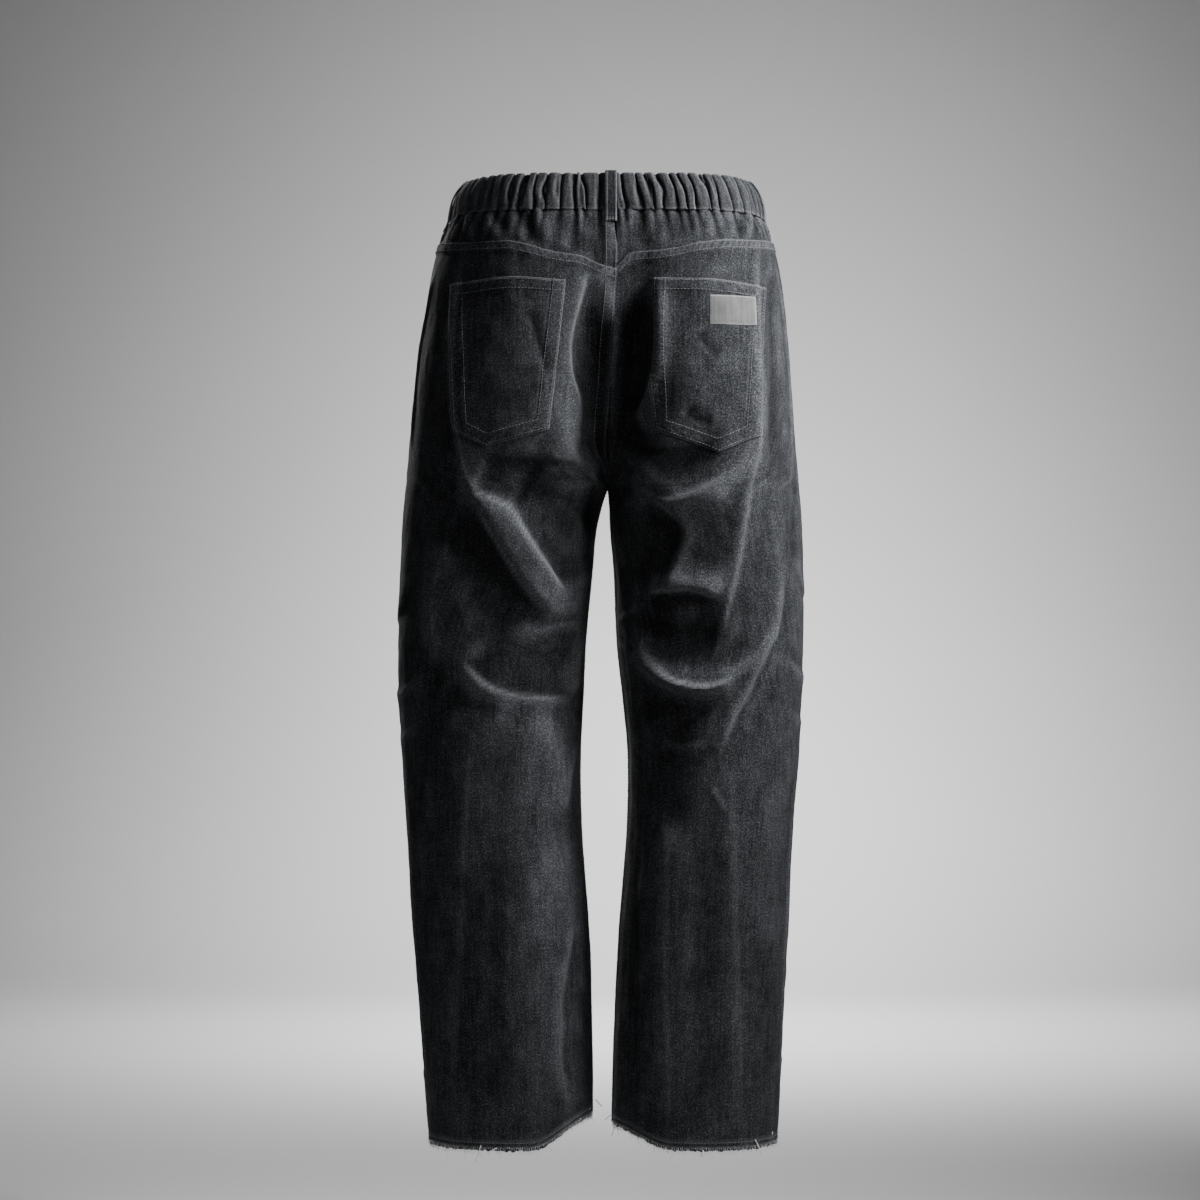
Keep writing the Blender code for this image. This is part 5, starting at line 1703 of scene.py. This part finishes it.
@dataclass
class RawHem:
    """The raw edge of one leg: a ragged strip of cloth, loose fibres and a few long threads."""

    skin: Skin
    finish: "Finishes"
    strip: float = 2.6
    thread: float = 0.42
    rows: tuple[FibreRow, ...] = (
        FibreRow(0, 2.2, 2.8, 0.15, 0.3), FibreRow(3, 1.2, 3.0, 0.14, -0.3),
        FibreRow(5, 0.9, 3.6, 0.13, -0.8), FibreRow(5, 13.0, 8.5, 0.17, -0.8),
    )

    def build(self) -> list[Object]:
        """Makes the strip and its fibres.

        Returns:
            The strip and the fibres.
        """
        share = np.linspace(0, 1, 481)[:-1]
        top = hem_level(self.skin, share)
        ragged = Ripple(110 if self.skin.side == "left" else 111)
        flat = share * 0
        low = top - self.strip - ragged.at(share * 400, flat, 1.3, 9) - 0.5 * ragged.at(share * 400, flat + 5, 4, 9)
        level = top + np.linspace(0, 1, 6)[:, None] * (low - top)
        shares = np.broadcast_to(share, level.shape)
        laid = drape(self.skin, shares, level)
        round_way = shares * self.skin.length_around(level)
        lift = 0.4 * ragged.at(round_way, level, 2.2, 3.0) + 0.5 * ragged.at(round_way, level * 0, 9, 3)
        marks = {"wear_and_highlight": np.clip(0.1 + 0.4 * ragged.at(round_way, level, 1.6, 1.2), 0, 1), "ridge": lift}
        walls = laid.moved(lift * 0.5 - 0.15), laid.moved(lift * 0.5 - CLOTH + 0.25)
        places = cloth_places(laid.point)
        name = f"hem_fray_{self.skin.side}"
        return [shell_object(name, walls, places, marks, (self.finish.fray,), closed=True), self.fibres(laid)]

    def fibres(self, laid: Drape) -> Object:
        """Makes the loose fibres and long threads of the edge.

        Args:
            laid: the strip's places.

        Returns:
            The fibres.
        """
        layers = []
        for k, row in enumerate(self.rows):
            points = laid.point[row.row] + laid.out[row.row] * row.lift
            mesh = new_mesh("edge", points, [(i, (i + 1) % len(points)) for i in range(len(points))], [])
            layers.append(grown(linked("edge", mesh), f"fibres_{k}", fibre_tree(self.finish.fibre), {
                "Pitch": row.pitch * MM, "Length": row.length * MM, "Thread": row.thread * MM,
                "Seed": k * 13 + (1 if self.skin.side == "left" else 2),
            }))
        lines = []
        edge = laid.point[2]
        for k, thread in enumerate(THREADS[self.skin.side]):
            line = smooth_line(thread, 4)
            seen = np.where(edge[:, 1] > 0, np.abs(edge[:, 0] + line[0][0]), np.inf)
            depth = edge[int(np.argmin(seen)), 1] + np.linspace(0.6, 2.2 - k % 3, len(line))
            lines.append(np.stack([-line[:, 0], depth, line[:, 1]], axis=1))
        layers.append(thread_object("long_threads", lines, self.thread, self.finish.fibre))
        return joined(layers, f"hem_fibres_{self.skin.side}")


def joined(objects: Sequence[Object], name: str) -> Object:
    """Joins mesh objects into one.

    Args:
        objects: the objects, which are removed.
        name: the new object's name.

    Returns:
        The joined object.
    """
    builder = bmesh.new()
    for obj in objects:
        builder.from_mesh(obj.data)
    mesh = bpy.data.meshes.new(name)
    builder.to_mesh(mesh)
    builder.free()
    mesh.materials.append(objects[0].data.materials[0])
    for obj in objects:
        bpy.data.objects.remove(obj)
    return linked(name, mesh)


def cloth_weave_group() -> ShaderNodeTree:
    """Builds the twill weave: a diagonal rib with slubs, and pale flecks where the filling thread shows.

    Returns:
        A node group with Height and Flecks outputs.
    """
    tree = bpy.data.node_groups.new("twill_weave", "ShaderNodeTree")
    add_socket(tree, "Place", "NodeSocketVector")
    add_socket(tree, "Rib", "NodeSocketFloat", value=1100.0)
    add_socket(tree, "Height", "NodeSocketFloat", "OUTPUT")
    add_socket(tree, "Flecks", "NodeSocketFloat", "OUTPUT")
    graph = Graph(tree)
    start = graph.add("NodeGroupInput").outputs
    apart = graph.add("ShaderNodeSeparateXYZ", {0: start["Place"]}).outputs
    slant = graph.math("SUBTRACT", apart[0], graph.times(apart[1], 0.72))
    wander = graph.noise(start["Place"], 160.0, 2.0)
    slant = graph.plus(slant, graph.times(wander, 0.0012))
    wave = graph.math("SINE", graph.times(slant, graph.times(start["Rib"], 2 * math.pi)))
    rib = graph.remap(wave, -1.0, 1.0)
    slub = graph.noise(graph.stretched(start["Place"], (900.0, 190.0, 1.0)), 1.0, 3.0, 0.6)
    grit = graph.noise(start["Place"], 720.0, 2.0, 0.7)
    height = graph.plus(graph.times(rib, 0.5), graph.times(slub, 0.9))
    height = graph.plus(height, graph.times(grit, 0.6))
    fine = graph.remap(graph.noise(graph.stretched(start["Place"], (700.0, 560.0, 1.0)), 1.0, 2.0, 0.7), 0.44, 0.7)
    broad = graph.remap(graph.noise(graph.stretched(start["Place"], (240.0, 150.0, 1.0)), 1.0, 2.0, 0.7), 0.35, 0.7)
    fleck = graph.times(fine, graph.plus(0.45, graph.times(broad, 0.75)))
    flecks = graph.times(fleck, graph.remap(wave, -0.8, 0.9, 0.35, 1.0), clamp=True)
    graph.add("NodeGroupOutput", {"Height": height, "Flecks": flecks})
    return tree


def wash_group() -> ShaderNodeTree:
    """Builds the wash: soft mottling, streaks down the cloth, paleness on worn places and on painted highlights, and
    painted shade in hollows.

    Returns:
        A node group with a Tone output and an output for the paleness of wear and painted highlight.
    """
    tree = bpy.data.node_groups.new("stone_wash", "ShaderNodeTree")
    add_socket(tree, "Place", "NodeSocketVector")
    add_socket(tree, "Cloth", "NodeSocketVector")
    for name in ("Wear_And_Highlight", "Ridge", "Fade"):
        add_socket(tree, name, "NodeSocketFloat")
    for name in ("Tone", "Worn_And_Highlight"):
        add_socket(tree, name, "NodeSocketFloat", "OUTPUT")
    graph = Graph(tree)
    start = graph.add("NodeGroupInput").outputs
    mottle = graph.noise(start["Place"], 22.0, 4.0, 0.62)
    patches = graph.noise(start["Place"], 75.0, 3.0, 0.6)
    streaks = graph.noise(graph.stretched(start["Cloth"], (330.0, 22.0, 1.0)), 1.0, 3.0, 0.65)
    tone = graph.plus(graph.times(mottle, 0.8), graph.times(patches, 0.7))
    tone = graph.plus(tone, graph.times(streaks, 1.1))
    tone = graph.plus(tone, graph.times(start["Ridge"], 0.1))
    # Painted shade: the tone darkens in hollows and pales a little on ridges.
    tone = graph.plus(tone, graph.times(start["Fade"], 0.06))
    tone = graph.remap(tone, 0.95, 1.65)
    grain = graph.noise(start["Place"], 420.0, 3.0, 0.7)
    # Paleness of wear, which carries the waistband's painted highlight too.
    worn = graph.times(start["Wear_And_Highlight"], graph.remap(grain, 0.3, 0.62, 0.25, 1.0))
    raised = graph.times(graph.remap(start["Ridge"], 0.3, 1.0), 0.07)
    worn = graph.plus(worn, graph.times(raised, graph.remap(grain, 0.35, 0.7)), clamp=True)
    graph.add("NodeGroupOutput", {"Tone": tone, "Worn_And_Highlight": worn})
    return tree


@dataclass(frozen=True)
class ClothFinish:
    """Colours and surface of one cloth."""

    name: str
    deep: tuple[float, float, float]
    faded: tuple[float, float, float]
    fleck: tuple[float, float, float]
    worn: tuple[float, float, float]
    fleck_share: float
    roughness: float
    relief: float
    sheen: float
    rib: float = 1100.0

    def build(self, weave: ShaderNodeTree, wash: ShaderNodeTree) -> Material:
        """Makes the material.

        Args:
            weave: the weave's node group.
            wash: the wash's node group.

        Returns:
            The material.
        """
        material, graph, shader = fresh_material(self.name)
        cloth = graph.add("ShaderNodeUVMap", uv_map="cloth").outputs[0]
        place = graph.add("ShaderNodeTexCoord").outputs["Object"]
        wear_and_highlight, ridge, fade = (
            graph.add("ShaderNodeAttribute", attribute_name=name).outputs["Fac"] for name in ("wear_and_highlight", "ridge", "fade")
        )
        woven = graph.add("ShaderNodeGroup", {"Place": cloth, "Rib": self.rib}, node_tree=weave).outputs
        marks = {"Place": place, "Cloth": cloth, "Wear_And_Highlight": wear_and_highlight, "Ridge": ridge, "Fade": fade}
        washed = graph.add("ShaderNodeGroup", marks, node_tree=wash).outputs
        tone, worn = washed["Tone"], washed["Worn_And_Highlight"]
        color = graph.mix(tone, (*self.deep, 1.0), (*self.faded, 1.0))
        flecks = graph.times(woven["Flecks"], graph.remap(tone, 0.0, 1.0, 0.55, 1.35))
        flecks = graph.times(flecks, self.fleck_share, clamp=True)
        color = graph.mix(flecks, color, (*self.fleck, 1.0))
        # Paler where the cloth is worn, and where the waistband's puffs carry a painted highlight.
        color = graph.mix(worn, color, (*self.worn, 1.0))
        # Painted shade: the fade mark darkens the colour in hollows and pales it on ridges; the ridge paleness stands
        # for wear.
        hollow_shade_ridge_wear = graph.remap(fade, -1.0, 1.0, 0.66, 1.22)
        even = graph.add("ShaderNodeCombineXYZ", {0: hollow_shade_ridge_wear, 1: hollow_shade_ridge_wear, 2: hollow_shade_ridge_wear}).outputs[0]
        color = graph.mix(1.0, color, even, "MULTIPLY")
        graph.feed(shader["Base Color"], color)
        graph.feed(shader["Roughness"], graph.remap(woven["Flecks"], 0, 1, self.roughness, 0.97))
        relief = {"Strength": self.relief, "Distance": 0.00028, "Height": woven["Height"]}
        graph.feed(shader["Normal"], graph.add("ShaderNodeBump", relief).outputs[0])
        shader["Sheen Weight"].default_value = self.sheen
        shader["Sheen Roughness"].default_value = 0.5
        shader["Specular IOR Level"].default_value = 0.12
        material.diffuse_color = (*self.faded, 1.0)
        return material


@dataclass(frozen=True)
class ThreadFinish:
    """Colours of a thread or of loose fibres."""

    name: str
    dark: tuple[float, float, float]
    light: tuple[float, float, float]
    twist: float
    roughness: float

    def build(self) -> Material:
        """Makes the material.

        Returns:
            The material.
        """
        material, graph, shader = fresh_material(self.name)
        place = graph.add("ShaderNodeTexCoord").outputs["Object"]
        blotches = graph.noise(place, 260.0, 2.0, 0.6)
        strands = graph.noise(place, self.twist, 2.0, 0.5)
        shade = graph.plus(graph.times(blotches, 0.8), graph.times(strands, 0.6))
        color = graph.mix(graph.remap(shade, 0.45, 0.95), (*self.dark, 1.0), (*self.light, 1.0))
        graph.feed(shader["Base Color"], color)
        relief = {"Strength": 0.5, "Distance": 0.0001, "Height": strands}
        graph.feed(shader["Normal"], graph.add("ShaderNodeBump", relief).outputs[0])
        graph.feed(shader["Roughness"], graph.remap(strands, 0.3, 0.7, self.roughness - 0.1, self.roughness))
        shader["Specular IOR Level"].default_value = 0.3
        material.diffuse_color = (*self.light, 1.0)
        return material


class Finishes:
    """Every material of the jeans."""

    def __init__(self) -> None:
        """Builds the shared node groups and the materials."""
        weave, wash = cloth_weave_group(), wash_group()
        self.denim = ClothFinish(
            "washed_black_denim", (0.004, 0.0045, 0.0055), (0.027, 0.0284, 0.032), (0.26, 0.27, 0.29),
            (0.24, 0.246, 0.258), 0.55, 0.9, 1.0, 0.0,
        ).build(weave, wash)
        self.denim_inside = ClothFinish(
            "denim_wrong_side", (0.03, 0.031, 0.034), (0.06, 0.062, 0.067), (0.16, 0.165, 0.175),
            (0.2, 0.205, 0.215), 0.5, 0.9, 0.6, 0.03,
        ).build(weave, wash)
        self.patch = ClothFinish(
            "grey_patch", (0.09, 0.09, 0.09), (0.155, 0.155, 0.155), (0.24, 0.24, 0.24),
            (0.5, 0.5, 0.5), 0.3, 0.7, 0.4, 0.02, rib=700.0,
        ).build(weave, wash)
        self.fray = ClothFinish(
            "frayed_cotton", (0.01, 0.0105, 0.012), (0.035, 0.036, 0.04), (0.12, 0.124, 0.132),
            (0.2, 0.205, 0.215), 0.45, 0.92, 0.6, 0.03,
        ).build(weave, wash)
        self.fibre = ThreadFinish("loose_fibre", (0.012, 0.0125, 0.014), (0.13, 0.134, 0.143), 1900.0, 0.9).build()
        self.thread = ThreadFinish("sewing_thread", (0.04, 0.042, 0.047), (0.2, 0.206, 0.22), 2600.0, 0.8).build()
        self.patch_thread = ThreadFinish("patch_thread", (0.05, 0.05, 0.052), (0.2, 0.2, 0.2), 2600.0, 0.7).build()


@dataclass(frozen=True)
class SoftLight:
    """A large soft lamp."""

    name: str
    place: tuple[float, float, float]
    aim: tuple[float, float, float]
    width: float
    height: float
    power: float
    spread: float = 130.0

    def build(self) -> None:
        """Adds the lamp."""
        data = bpy.data.lights.new(self.name, "AREA")
        data.shape = "RECTANGLE"
        data.size, data.size_y = self.width, self.height
        data.energy = self.power
        data.spread = math.radians(self.spread)
        obj = bpy.data.objects.new(self.name, data)
        obj.location = self.place
        obj.rotation_euler = (Vector(self.aim) - Vector(self.place)).to_track_quat("-Z", "Y").to_euler()
        obj.visible_camera = False
        bpy.context.scene.collection.objects.link(obj)


LIGHTS = (
    SoftLight("key_right", (-0.92, 0.39, 0.52), (-0.32, 0.09, -0.12), 0.3, 0.3, 9.6, 84.0),
    SoftLight("side_right", (-1.1, 0.85, 0.1), (-0.16, 0.1, -0.3), 0.3, 0.4, 0.8, 40.0),
    SoftLight("top", (0.0, 0.5, 0.8), (0.0, 0.08, -0.3), 0.35, 0.3, 0.6, 130.0),
    SoftLight("left_fill", (2.4, 1.8, 0.4), (0.0, 0.0, -0.5), 1.0, 1.2, 0.7, 90.0),
    SoftLight("front_soft", (0.9, -2.4, 0.9), (0.0, -0.05, -0.4), 0.9, 0.9, 9.0, 44.0),
    SoftLight("backdrop_glow", (-0.25, -3.4, 0.45), (-0.15, -5.2, -0.65), 0.9, 0.7, 29.0, 130.0),
    SoftLight("floor_glow", (-0.15, -2.5, 0.35), (-0.14, -2.75, -1.16), 0.9, 0.9, 33.0, 130.0),
)


@dataclass
class Studio:
    """Plain pale floor that sweeps up into a backdrop, soft lamps and the camera."""

    floor: float = -1.16
    half_width: float = 8.0
    sweep_start: float = -3.2
    sweep_radius: float = 2.4
    lights: tuple[SoftLight, ...] = LIGHTS
    air: float = 0.048
    lens: float = 109.0
    camera_place: tuple[float, float, float] = (0.008, 3.74, -0.407)

    def build(self) -> None:
        """Builds the room, its lamps and the camera."""
        self.backdrop()
        for light in self.lights:
            light.build()
        self.world()
        self.camera()

    def backdrop(self) -> None:
        """Builds the floor and the curved sweep behind it."""
        start, radius = self.sweep_start, self.sweep_radius
        profile = [(7.0, self.floor), (start, self.floor)]
        for k in range(1, 13):
            angle = math.pi / 2 * k / 12
            profile.append((start - radius * math.sin(angle), self.floor + radius * (1 - math.cos(angle))))
        profile.append((start - radius, 5.0))
        points, faces = [], []
        for k, (y, z) in enumerate(profile):
            points += [(-self.half_width, y, z), (self.half_width, y, z)]
            if k:
                faces.append((2 * k - 2, 2 * k - 1, 2 * k + 1, 2 * k))
        mesh = bpy.data.meshes.new("studio_floor")
        mesh.from_pydata(points, [], faces)
        mesh.shade_smooth()
        material, graph, shader = fresh_material("pale_paper")
        place = graph.add("ShaderNodeTexCoord").outputs["Object"]
        cloud = graph.remap(graph.noise(place, 0.8, 2.0), 0.3, 0.7)
        color = graph.mix(cloud, (0.72, 0.72, 0.715, 1.0), (0.76, 0.76, 0.755, 1.0))
        graph.feed(shader["Base Color"], color)
        shader["Roughness"].default_value = 0.9
        mesh.materials.append(material)
        linked("studio_floor", mesh)

    def world(self) -> None:
        """Sets a dim even light all round."""
        world = bpy.data.worlds.new("studio_air")
        world.use_nodes = True
        shade = world.node_tree.nodes["Background"]
        shade.inputs[0].default_value = (0.9, 0.93, 1.0, 1.0)
        shade.inputs[1].default_value = self.air
        bpy.context.scene.world = world

    def camera(self) -> None:
        """Sets the camera behind the jeans, level with the knees' upper side."""
        data = bpy.data.cameras.new("camera")
        data.lens = self.lens
        data.sensor_width = 36.0
        camera = bpy.data.objects.new("camera", data)
        camera.location = self.camera_place
        camera.rotation_euler = Euler((math.pi / 2, 0.0, math.pi))
        bpy.context.scene.collection.objects.link(camera)
        bpy.context.scene.camera = camera


def surface_of(obj: Object) -> BVHTree:
    """A search tree of a piece's faces."""
    mesh = obj.data
    return BVHTree.FromPolygons([v.co for v in mesh.vertices], [tuple(p.vertices) for p in mesh.polygons])


def on_skin(skin: Skin, share: Grid, level: Grid) -> Grid:
    """Places a little outside the folded skin along a line.

    Args:
        skin: the side.
        share: shares of the way round.
        level: levels.

    Returns:
        The places.
    """
    share, level = np.atleast_2d(share), np.atleast_2d(level)
    flat = skin.flat_point(share, level)
    out = skin.flat_normal(share, level)
    calm = np.ones(share.shape)
    height = skin.fold_height(flat, out, calm) + skin.crease_height(flat, out, calm)[0]
    return skin.lean(flat + out * (height + 1.2)[..., None], level)[0]


def pocket_line(pocket: BackPocket, line: Grid, fine: bool = True) -> Grid:
    """Places just outside a pocket's face along a line that is seen from the back.

    Args:
        pocket: the pocket.
        line: (distance from the centre plane, height) of its points.
        fine: set more points between them.

    Returns:
        The places.
    """
    if fine:
        passed = passed_along(line)
        at = np.linspace(0, passed[-1], int(passed[-1] / 2.5))
        line = np.stack([np.interp(at, passed, line[:, k]) for k in range(2)], axis=1)
    share, level = skin_places(pocket.skin, line[:, 0] * pocket.skin.sign, line[:, 1])
    return on_skin(pocket.skin, share, level) + np.array([0.0, 2.5, 0.0])


@dataclass
class Sewing:
    """All the rows of stitches, on the finished pieces."""

    pieces: dict[str, Object]
    finish: Finishes
    seam_rows: tuple[float, float] = (1.4, 7.9)
    hem_row: float = 5.5
    bars: tuple[float, ...] = (-27.2, -28.0, -28.8, -29.6)

    def __post_init__(self) -> None:
        """Prepares the pieces for the search of places on them."""
        self.surfaces = {name: surface_of(obj) for name, obj in self.pieces.items()}

    def leg_rows(self, skin: Skin) -> Object:
        """Sews the seams and hem of one leg.

        Args:
            skin: the side.

        Returns:
            The stitches.
        """
        rows = StitchRows(f"leg_stitches_{skin.side}")
        back, front = (self.surfaces[f"{face}_leg_{skin.side}"] for face in ("back", "front"))
        part = np.linspace(0.01, 0.995, 120)
        for below in (1.3, 8.0):
            level = yoke_seam(skin, part) - below
            rows.add(back, on_skin(skin, part * skin.side_seam(level), level))
        down = np.linspace(CROTCH - 4, HEM + HEM_RISE[skin.side] + 1, 300)
        for away in self.seam_rows:
            rows.add(back, on_skin(skin, away / skin.length_around(down), down))
        hem_share = np.linspace(0.004, 0.996, 260)
        hem = hem_level(skin, hem_share) + self.hem_row
        on_back = hem_share < float(skin.side_seam(HEM))
        rows.add(back, on_skin(skin, hem_share[on_back], hem[on_back]))
        rows.add(front, on_skin(skin, hem_share[~on_back], hem[~on_back]))
        if skin.side == "left":
            above = np.linspace(BAND_BOTTOM - 2, YOKE_CENTRE + 1.5, 40)
            below = np.linspace(YOKE_CENTRE - 1.5, CROTCH + 3, 110)
            for away in (1.6, Panel.centre_lap - 1.8):
                rows.add(self.surfaces["back_yoke_left"], on_skin(skin, away / skin.length_around(above), above))
                rows.add(back, on_skin(skin, away / skin.length_around(below), below))
            down = np.linspace(BAND_BOTTOM - 2, CROTCH + 3, 130)
            for away in self.seam_rows:
                rows.add(front, on_skin(skin, 1 - away / skin.length_around(down), down))
        return rows.build(self.finish.thread)

    def pocket_rows(self, pocket: BackPocket) -> Object:
        """Sews a pocket's edges and mouth.

        Args:
            pocket: the pocket.

        Returns:
            The stitches.
        """
        rows = StitchRows(f"pocket_stitches_{pocket.skin.side}")
        surface = self.surfaces[pocket.name]
        for inset in (1.8, pocket.turn - 1.2):
            rows.add(surface, pocket_line(pocket, inset_line(pocket.sides, inset)))
        u = np.linspace(0.02, 0.98, 60)
        for below in (1.8, pocket.mouth_hem - 1.0):
            x, z = pocket.places(u, np.zeros(u.shape))
            rows.add(surface, pocket_line(pocket, np.stack([x, z - below], axis=1), fine=False))
        return rows.build(self.finish.thread)

    def patch_rows(self, patch: PocketPatch, inset: float = 2.0) -> Object:
        """Sews the patch's border.

        Args:
            patch: the patch.
            inset: how far the row lies inside its edge.

        Returns:
            The stitches.
        """
        rows = StitchRows("patch_stitches", 2.6, 2.1, 0.28)
        (x0, x1), (z0, z1) = patch.across, patch.heights
        left, right, low, high = x0 + inset, x1 - inset, z0 + inset, z1 - inset
        border = np.array([(left, high), (right, high), (right, low), (left, low), (left, high)])
        places = pocket_line(patch.pocket, border) + np.array([0.0, 2.5, 0.0])
        rows.add(self.surfaces[patch.name], places)
        return rows.build(self.finish.patch_thread)

    def loop_rows(self, loops: Sequence[BeltLoop]) -> Object:
        """Sews both edges of every belt loop and bars its lower end.

        Args:
            loops: the loops.

        Returns:
            The stitches.
        """
        rows = StitchRows("loop_stitches", 2.8, 2.3, 0.3)
        level, across = np.linspace(16.0, -30.0, 30), np.linspace(-5.0, 5.0, 8)
        for loop in loops:
            lines = [(np.full(level.shape, offset), level) for offset in (-3.4, 3.4)]
            lines += [(across, np.full(across.shape, bar)) for bar in self.bars]
            for line in lines:
                flat, out = loop.plain(*line)
                if loop.share == 0.0:
                    out[:, 0] = 0.0
                rows.add(self.surfaces[loop.name], flat + out * 5.5)
        return rows.build(self.finish.thread)


def inset_line(outline: Grid, inset: float) -> Grid:
    """Moves an open line to its left hand.

    Args:
        outline: corners from the inner top round the bottom to the outer top.
        inset: how far to move it.

    Returns:
        The moved corners.
    """
    spans = np.diff(outline, axis=0)
    normals = unit(np.stack([-spans[:, 1], spans[:, 0]], axis=1))
    before, after = np.concatenate([normals[:1], normals]), np.concatenate([normals, normals[-1:]])
    return outline + (before + after) * inset / (1 + np.sum(before * after, axis=1, keepdims=True))


@dataclass(frozen=True)
class Cut:
    """A cloth piece as it was cut: flat size in metres, area, how it is held."""

    flat: tuple[float, float]
    area: float
    held: str


class Jeans:
    """The whole garment."""

    def __init__(self) -> None:
        """Works out the skins, the gathers and the finishes."""
        self.skins = {side: Skin(side) for side in ("left", "right")}
        self.gathers = Gathers()
        self.finish = Finishes()
        self.pockets = {side: BackPocket(skin, self.finish) for side, skin in self.skins.items()}
        self.patch = PocketPatch(self.pockets["right"], self.finish)
        self.loops = [BeltLoop(name, self.skins[side], share, self.finish) for name, (side, share) in LOOPS.items()]
        self.pieces: dict[str, Object] = {}
        self.extras: dict[str, list[Object]] = {}

    def build_cloth(self) -> None:
        """Builds every piece of cloth."""
        for skin in self.skins.values():
            shared = self.gathers, self.finish
            self.keep(LegPanel(skin, "back", *shared).build())
            self.keep(LegPanel(skin, "front", *shared, columns=84, rows=(76, 160)).build())
            self.keep(Yoke(skin, "back", *shared).build())
        for face in ("back", "front"):
            self.keep(Waistband(self.skins, face, self.gathers, self.finish).build())
        for pocket in self.pockets.values():
            self.keep(pocket.build())
        self.keep(self.patch.build())
        for loop in self.loops:
            self.keep(loop.build())

    def build_trims(self) -> None:
        """Builds the raw hems and all the sewing."""
        for side, skin in self.skins.items():
            strip, fibres = RawHem(skin, self.finish).build()
            self.keep(strip)
            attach(fibres, "root")
            self.extras[f"back_leg_{side}"] = [strip, fibres]
        sewing = Sewing(self.pieces, self.finish)
        for side, skin in self.skins.items():
            self.sew(sewing.leg_rows(skin), f"back_leg_{side}")
            self.sew(sewing.pocket_rows(self.pockets[side]), f"back_pocket_{side}")
        self.sew(sewing.patch_rows(self.patch), "pocket_patch")
        self.sew(sewing.loop_rows(self.loops), "belt_loop_back")

    def keep(self, obj: Object) -> None:
        """Makes a piece ride on the jeans in place of its solid.

        Args:
            obj: the piece, named for its node.
        """
        node = obj.name.removesuffix(".001")
        obj.name = node + "_cloth"
        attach(obj, "root")
        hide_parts(node)
        self.pieces[node] = obj
        logging.info("%s: %d triangles", obj.name, sum(len(face.vertices) - 2 for face in obj.data.polygons))

    def sew(self, stitches: Object, piece: str) -> None:
        """Makes stitches ride with the piece that they are sewn in.

        Args:
            stitches: the stitches.
            piece: the piece's node.
        """
        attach(stitches, "root")
        self.extras.setdefault(piece, []).append(stitches)
        logging.info("%s: %d faces", stitches.name, len(stitches.data.polygons))


def main() -> None:
    """Builds the jeans and the studio."""
    logging.basicConfig(level=logging.INFO, format="%(message)s")
    Studio().build()
    jeans = Jeans()
    jeans.build_cloth()
    jeans.build_trims()


if __name__ == "__main__":
    main()
